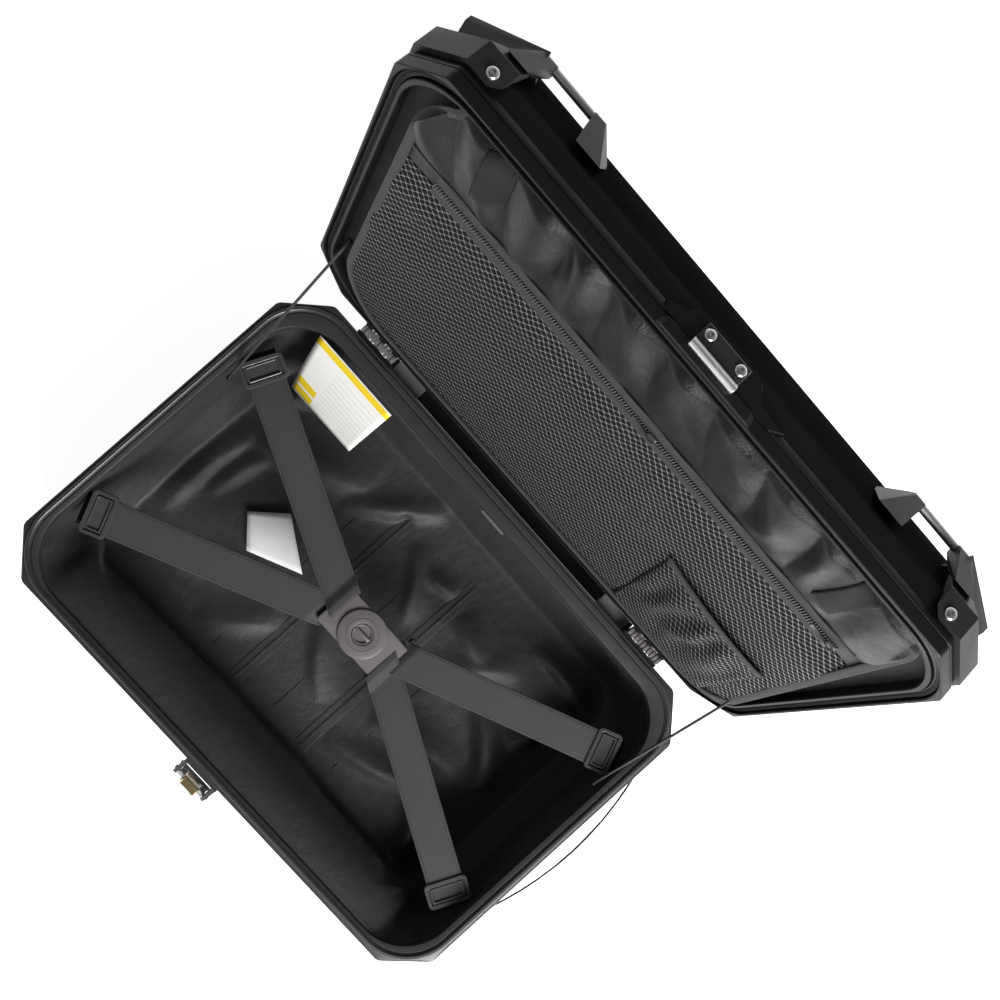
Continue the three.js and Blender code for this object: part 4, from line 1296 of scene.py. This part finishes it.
def add_panel():
    """The organiser panel: mesh and satin cloth over a board, with a bound edge, zip and fasteners."""
    outline = quadrilateral(PANEL_CORNERS)
    verts, faces = sheet_over(outline, MESH_TOP, 189, 120, 200, mesh_height)
    # The knit's pale strands are painted highlights and its black holes painted shade
    mesh = thicken(make("panel_mesh", verts, faces, "knit", "lid", LID, outward=False), 0.7)
    verts, faces = sheet_over(outline, -202, MESH_TOP - 1, 70, 320, cloth_height)
    cloth = thicken(make("panel_cloth", verts, faces, "satin", "lid", LID, outward=False), 0.8)
    board = [level(quadrilateral(PANEL_CORNERS, 7) * (0.985, 0.93), z) for z in (5.2, 9)]
    backing = make("panel_board", *loft(board), "hollow", "lid", LID)
    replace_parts(backing, "lid_panel")

    edge = resampled(np.vstack([outline, outline[:1]]), 900)[:-1]
    shown = edge[:, 1] > -199  # the rest is behind the lid frame
    start = int(np.argmax(shown & ~np.roll(shown, 1)))
    edge = np.roll(edge, -start, 0)[: int(shown.sum())]
    path = np.column_stack([edge, 1 + np.clip(-184 - edge[:, 1], 0, 20)])
    flat = [(-4.3, 0), (-4, 1.2), (-2.5, 1.7), (2.5, 1.7), (4, 1.2)]
    flat += [(4.3, 0), (4, -1.2), (2.5, -1.8), (-2.5, -1.8), (-4, -1.2)]
    swept("panel_binding", path, flat, "binding", "lid", LID, up=INTO_CASE)

    add_lid_zip()
    add_fasteners()


def add_lid_zip():
    path = np.array([(x, ZIP_Y + 1.2 * math.sin(x / 60), 1.4) for x in np.linspace(*ZIP_ENDS, 80)])
    add_zip("lid_zip", path, INTO_CASE, "lid", LID, LID_TAPE, "tape", LID_TEETH)
    seam = [
        (x, ZIP_Y - LID_TAPE / 2 + 0.8 * math.sin(x / 60), 1.5 + 0.4 * math.sin(x / 9))
        for x in np.linspace(-262, 250, 120)
    ]
    swept("lid_zip_seam", seam, strip_section(3.2, 1.2, 3), "tape", "lid", LID, up=INTO_CASE)
    for name, x in (("left", 19), ("right", 234)):
        tab, body, node = (f"lid_{word}_{name}" for word in ("pull_tab", "pull", "puller"))
        add_puller(tab, (x, ZIP_Y, 0.2), (-1, 0, 0), INTO_CASE, body, LID, node)


def add_fasteners():
    """The two touch-fastener patches on the satin cloth."""
    rows, columns = 14, 10
    for name, spots in (
        ("left", ((-209, -188), (-204, -127), (-178, -144), (-185, -198))),
        ("right", ((182, -131), (206, -124), (210, -184), (188, -190))),
    ):
        verts = [(x, y, cloth_height(x, y) - 1.1) for _, _, (x, y) in spread_over(spots, rows, columns)]
        faces = grid_faces(rows, columns)
        thicken(make("fastener_" + name, verts, faces, "pile", "lid", LID, outward=False), 1.4)


POCKET = ((118, 26), (254, 46), (258, 184), (132, 184))  # mouth left, mouth right, and the two lower corners


def add_pocket():
    """Elasticated mesh pocket, gathered along its mouth."""
    rows, columns = 60, 90
    verts = []
    for v, u, (x, y) in spread_over(POCKET, rows, columns):
        belly = math.sin(math.pi * u) ** 0.5 * math.sin(math.pi * min(1, 0.2 + 0.8 * v)) ** 0.6
        loose = min(1, 4 * v)  # the pleats fade out at the mouth
        pleat = math.sin(u * 24 + 4 * v + 3 * ripple(x, y, 50, 4)) * loose * (1.1 - v)
        fold = 2.6 * ripple(x, y * 0.6, 24, 6) * loose
        verts.append((x, y, -0.5 - belly * (7 + 4.5 * pleat + fold)))
    mouth = np.array(verts[:columns]) + (0, 0, -1.0)
    swept("mesh_pocket_trim", mouth, strip_section(9, 1.8, 5), "tab", "lid", LID, up=INTO_CASE)
    faces = grid_faces(rows, columns)
    # The knit's pale strands are painted highlights and its black holes painted shade
    pocket = thicken(make("mesh_pocket_net", verts, faces, "knit", "lid", LID, outward=False), 0.7)
    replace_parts(pocket, "mesh_pocket")


# ---- stage ----
def add_light(name, spot, target, size, power, colour=(1, 1, 1)):
    data = bpy.data.lights.new(name, "AREA")
    data.shape = "RECTANGLE"
    data.size, data.size_y = size
    data.energy = power
    data.color = colour
    lamp = bpy.data.objects.new(name, data)
    bpy.context.scene.collection.objects.link(lamp)
    lamp.location = spot
    lamp.rotation_euler = (Vector(target) - Vector(spot)).to_track_quat("-Z", "Y").to_euler()


def add_stage():
    bpy.context.scene.view_settings.view_transform = "Standard"
    world = bpy.data.worlds.new("studio")
    bpy.context.scene.world = world
    world.use_nodes = True
    tree = world.node_tree
    up = add(tree, "SeparateXYZ", {0: add(tree, "TexCoord", out=0)}, 2)
    tree.links.new(ramp(tree, up, 0, 1, 0.5, 0.05), tree.nodes["Background"].inputs["Strength"])
    tree.nodes["Background"].inputs["Color"].default_value = (1, 1, 1, 1)
    size = 6  # metres from the middle to each edge of the floor
    floor = bpy.data.meshes.new("floor")
    corners = [(-size, -size, 0), (size, -size, 0), (size, size, 0), (-size, size, 0)]
    floor.from_pydata(corners, [], [(0, 1, 2, 3)])
    look, tree, shader = tree_of("studio_floor", (0.9, 0.9, 0.9), 0.6)
    shader.inputs["Emission Color"].default_value = (1, 1, 1, 1)
    shader.inputs["Emission Strength"].default_value = 0.85
    tint(tree, shader, noise_node(tree, place_of(tree), 0.3), (0.88, 0.88, 0.88), (0.92, 0.92, 0.92))
    floor.materials.append(look)
    ground = bpy.data.objects.new("floor", floor)
    bpy.context.scene.collection.objects.link(ground)
    add_light("key", (1.7, -0.7, 1.5), (0, 0.05, 0.1), (1.4, 1.0), 90)


add_camera()
add_stays()
add_stage()
add_base_shell()
add_base_rim()
add_liner()
add_straps()
add_plate()
add_floor_zips()
add_papers()
add_base_fittings()
add_lid_shell()
add_lid_frame()
add_lid_fittings()
add_panel()
add_pocket()
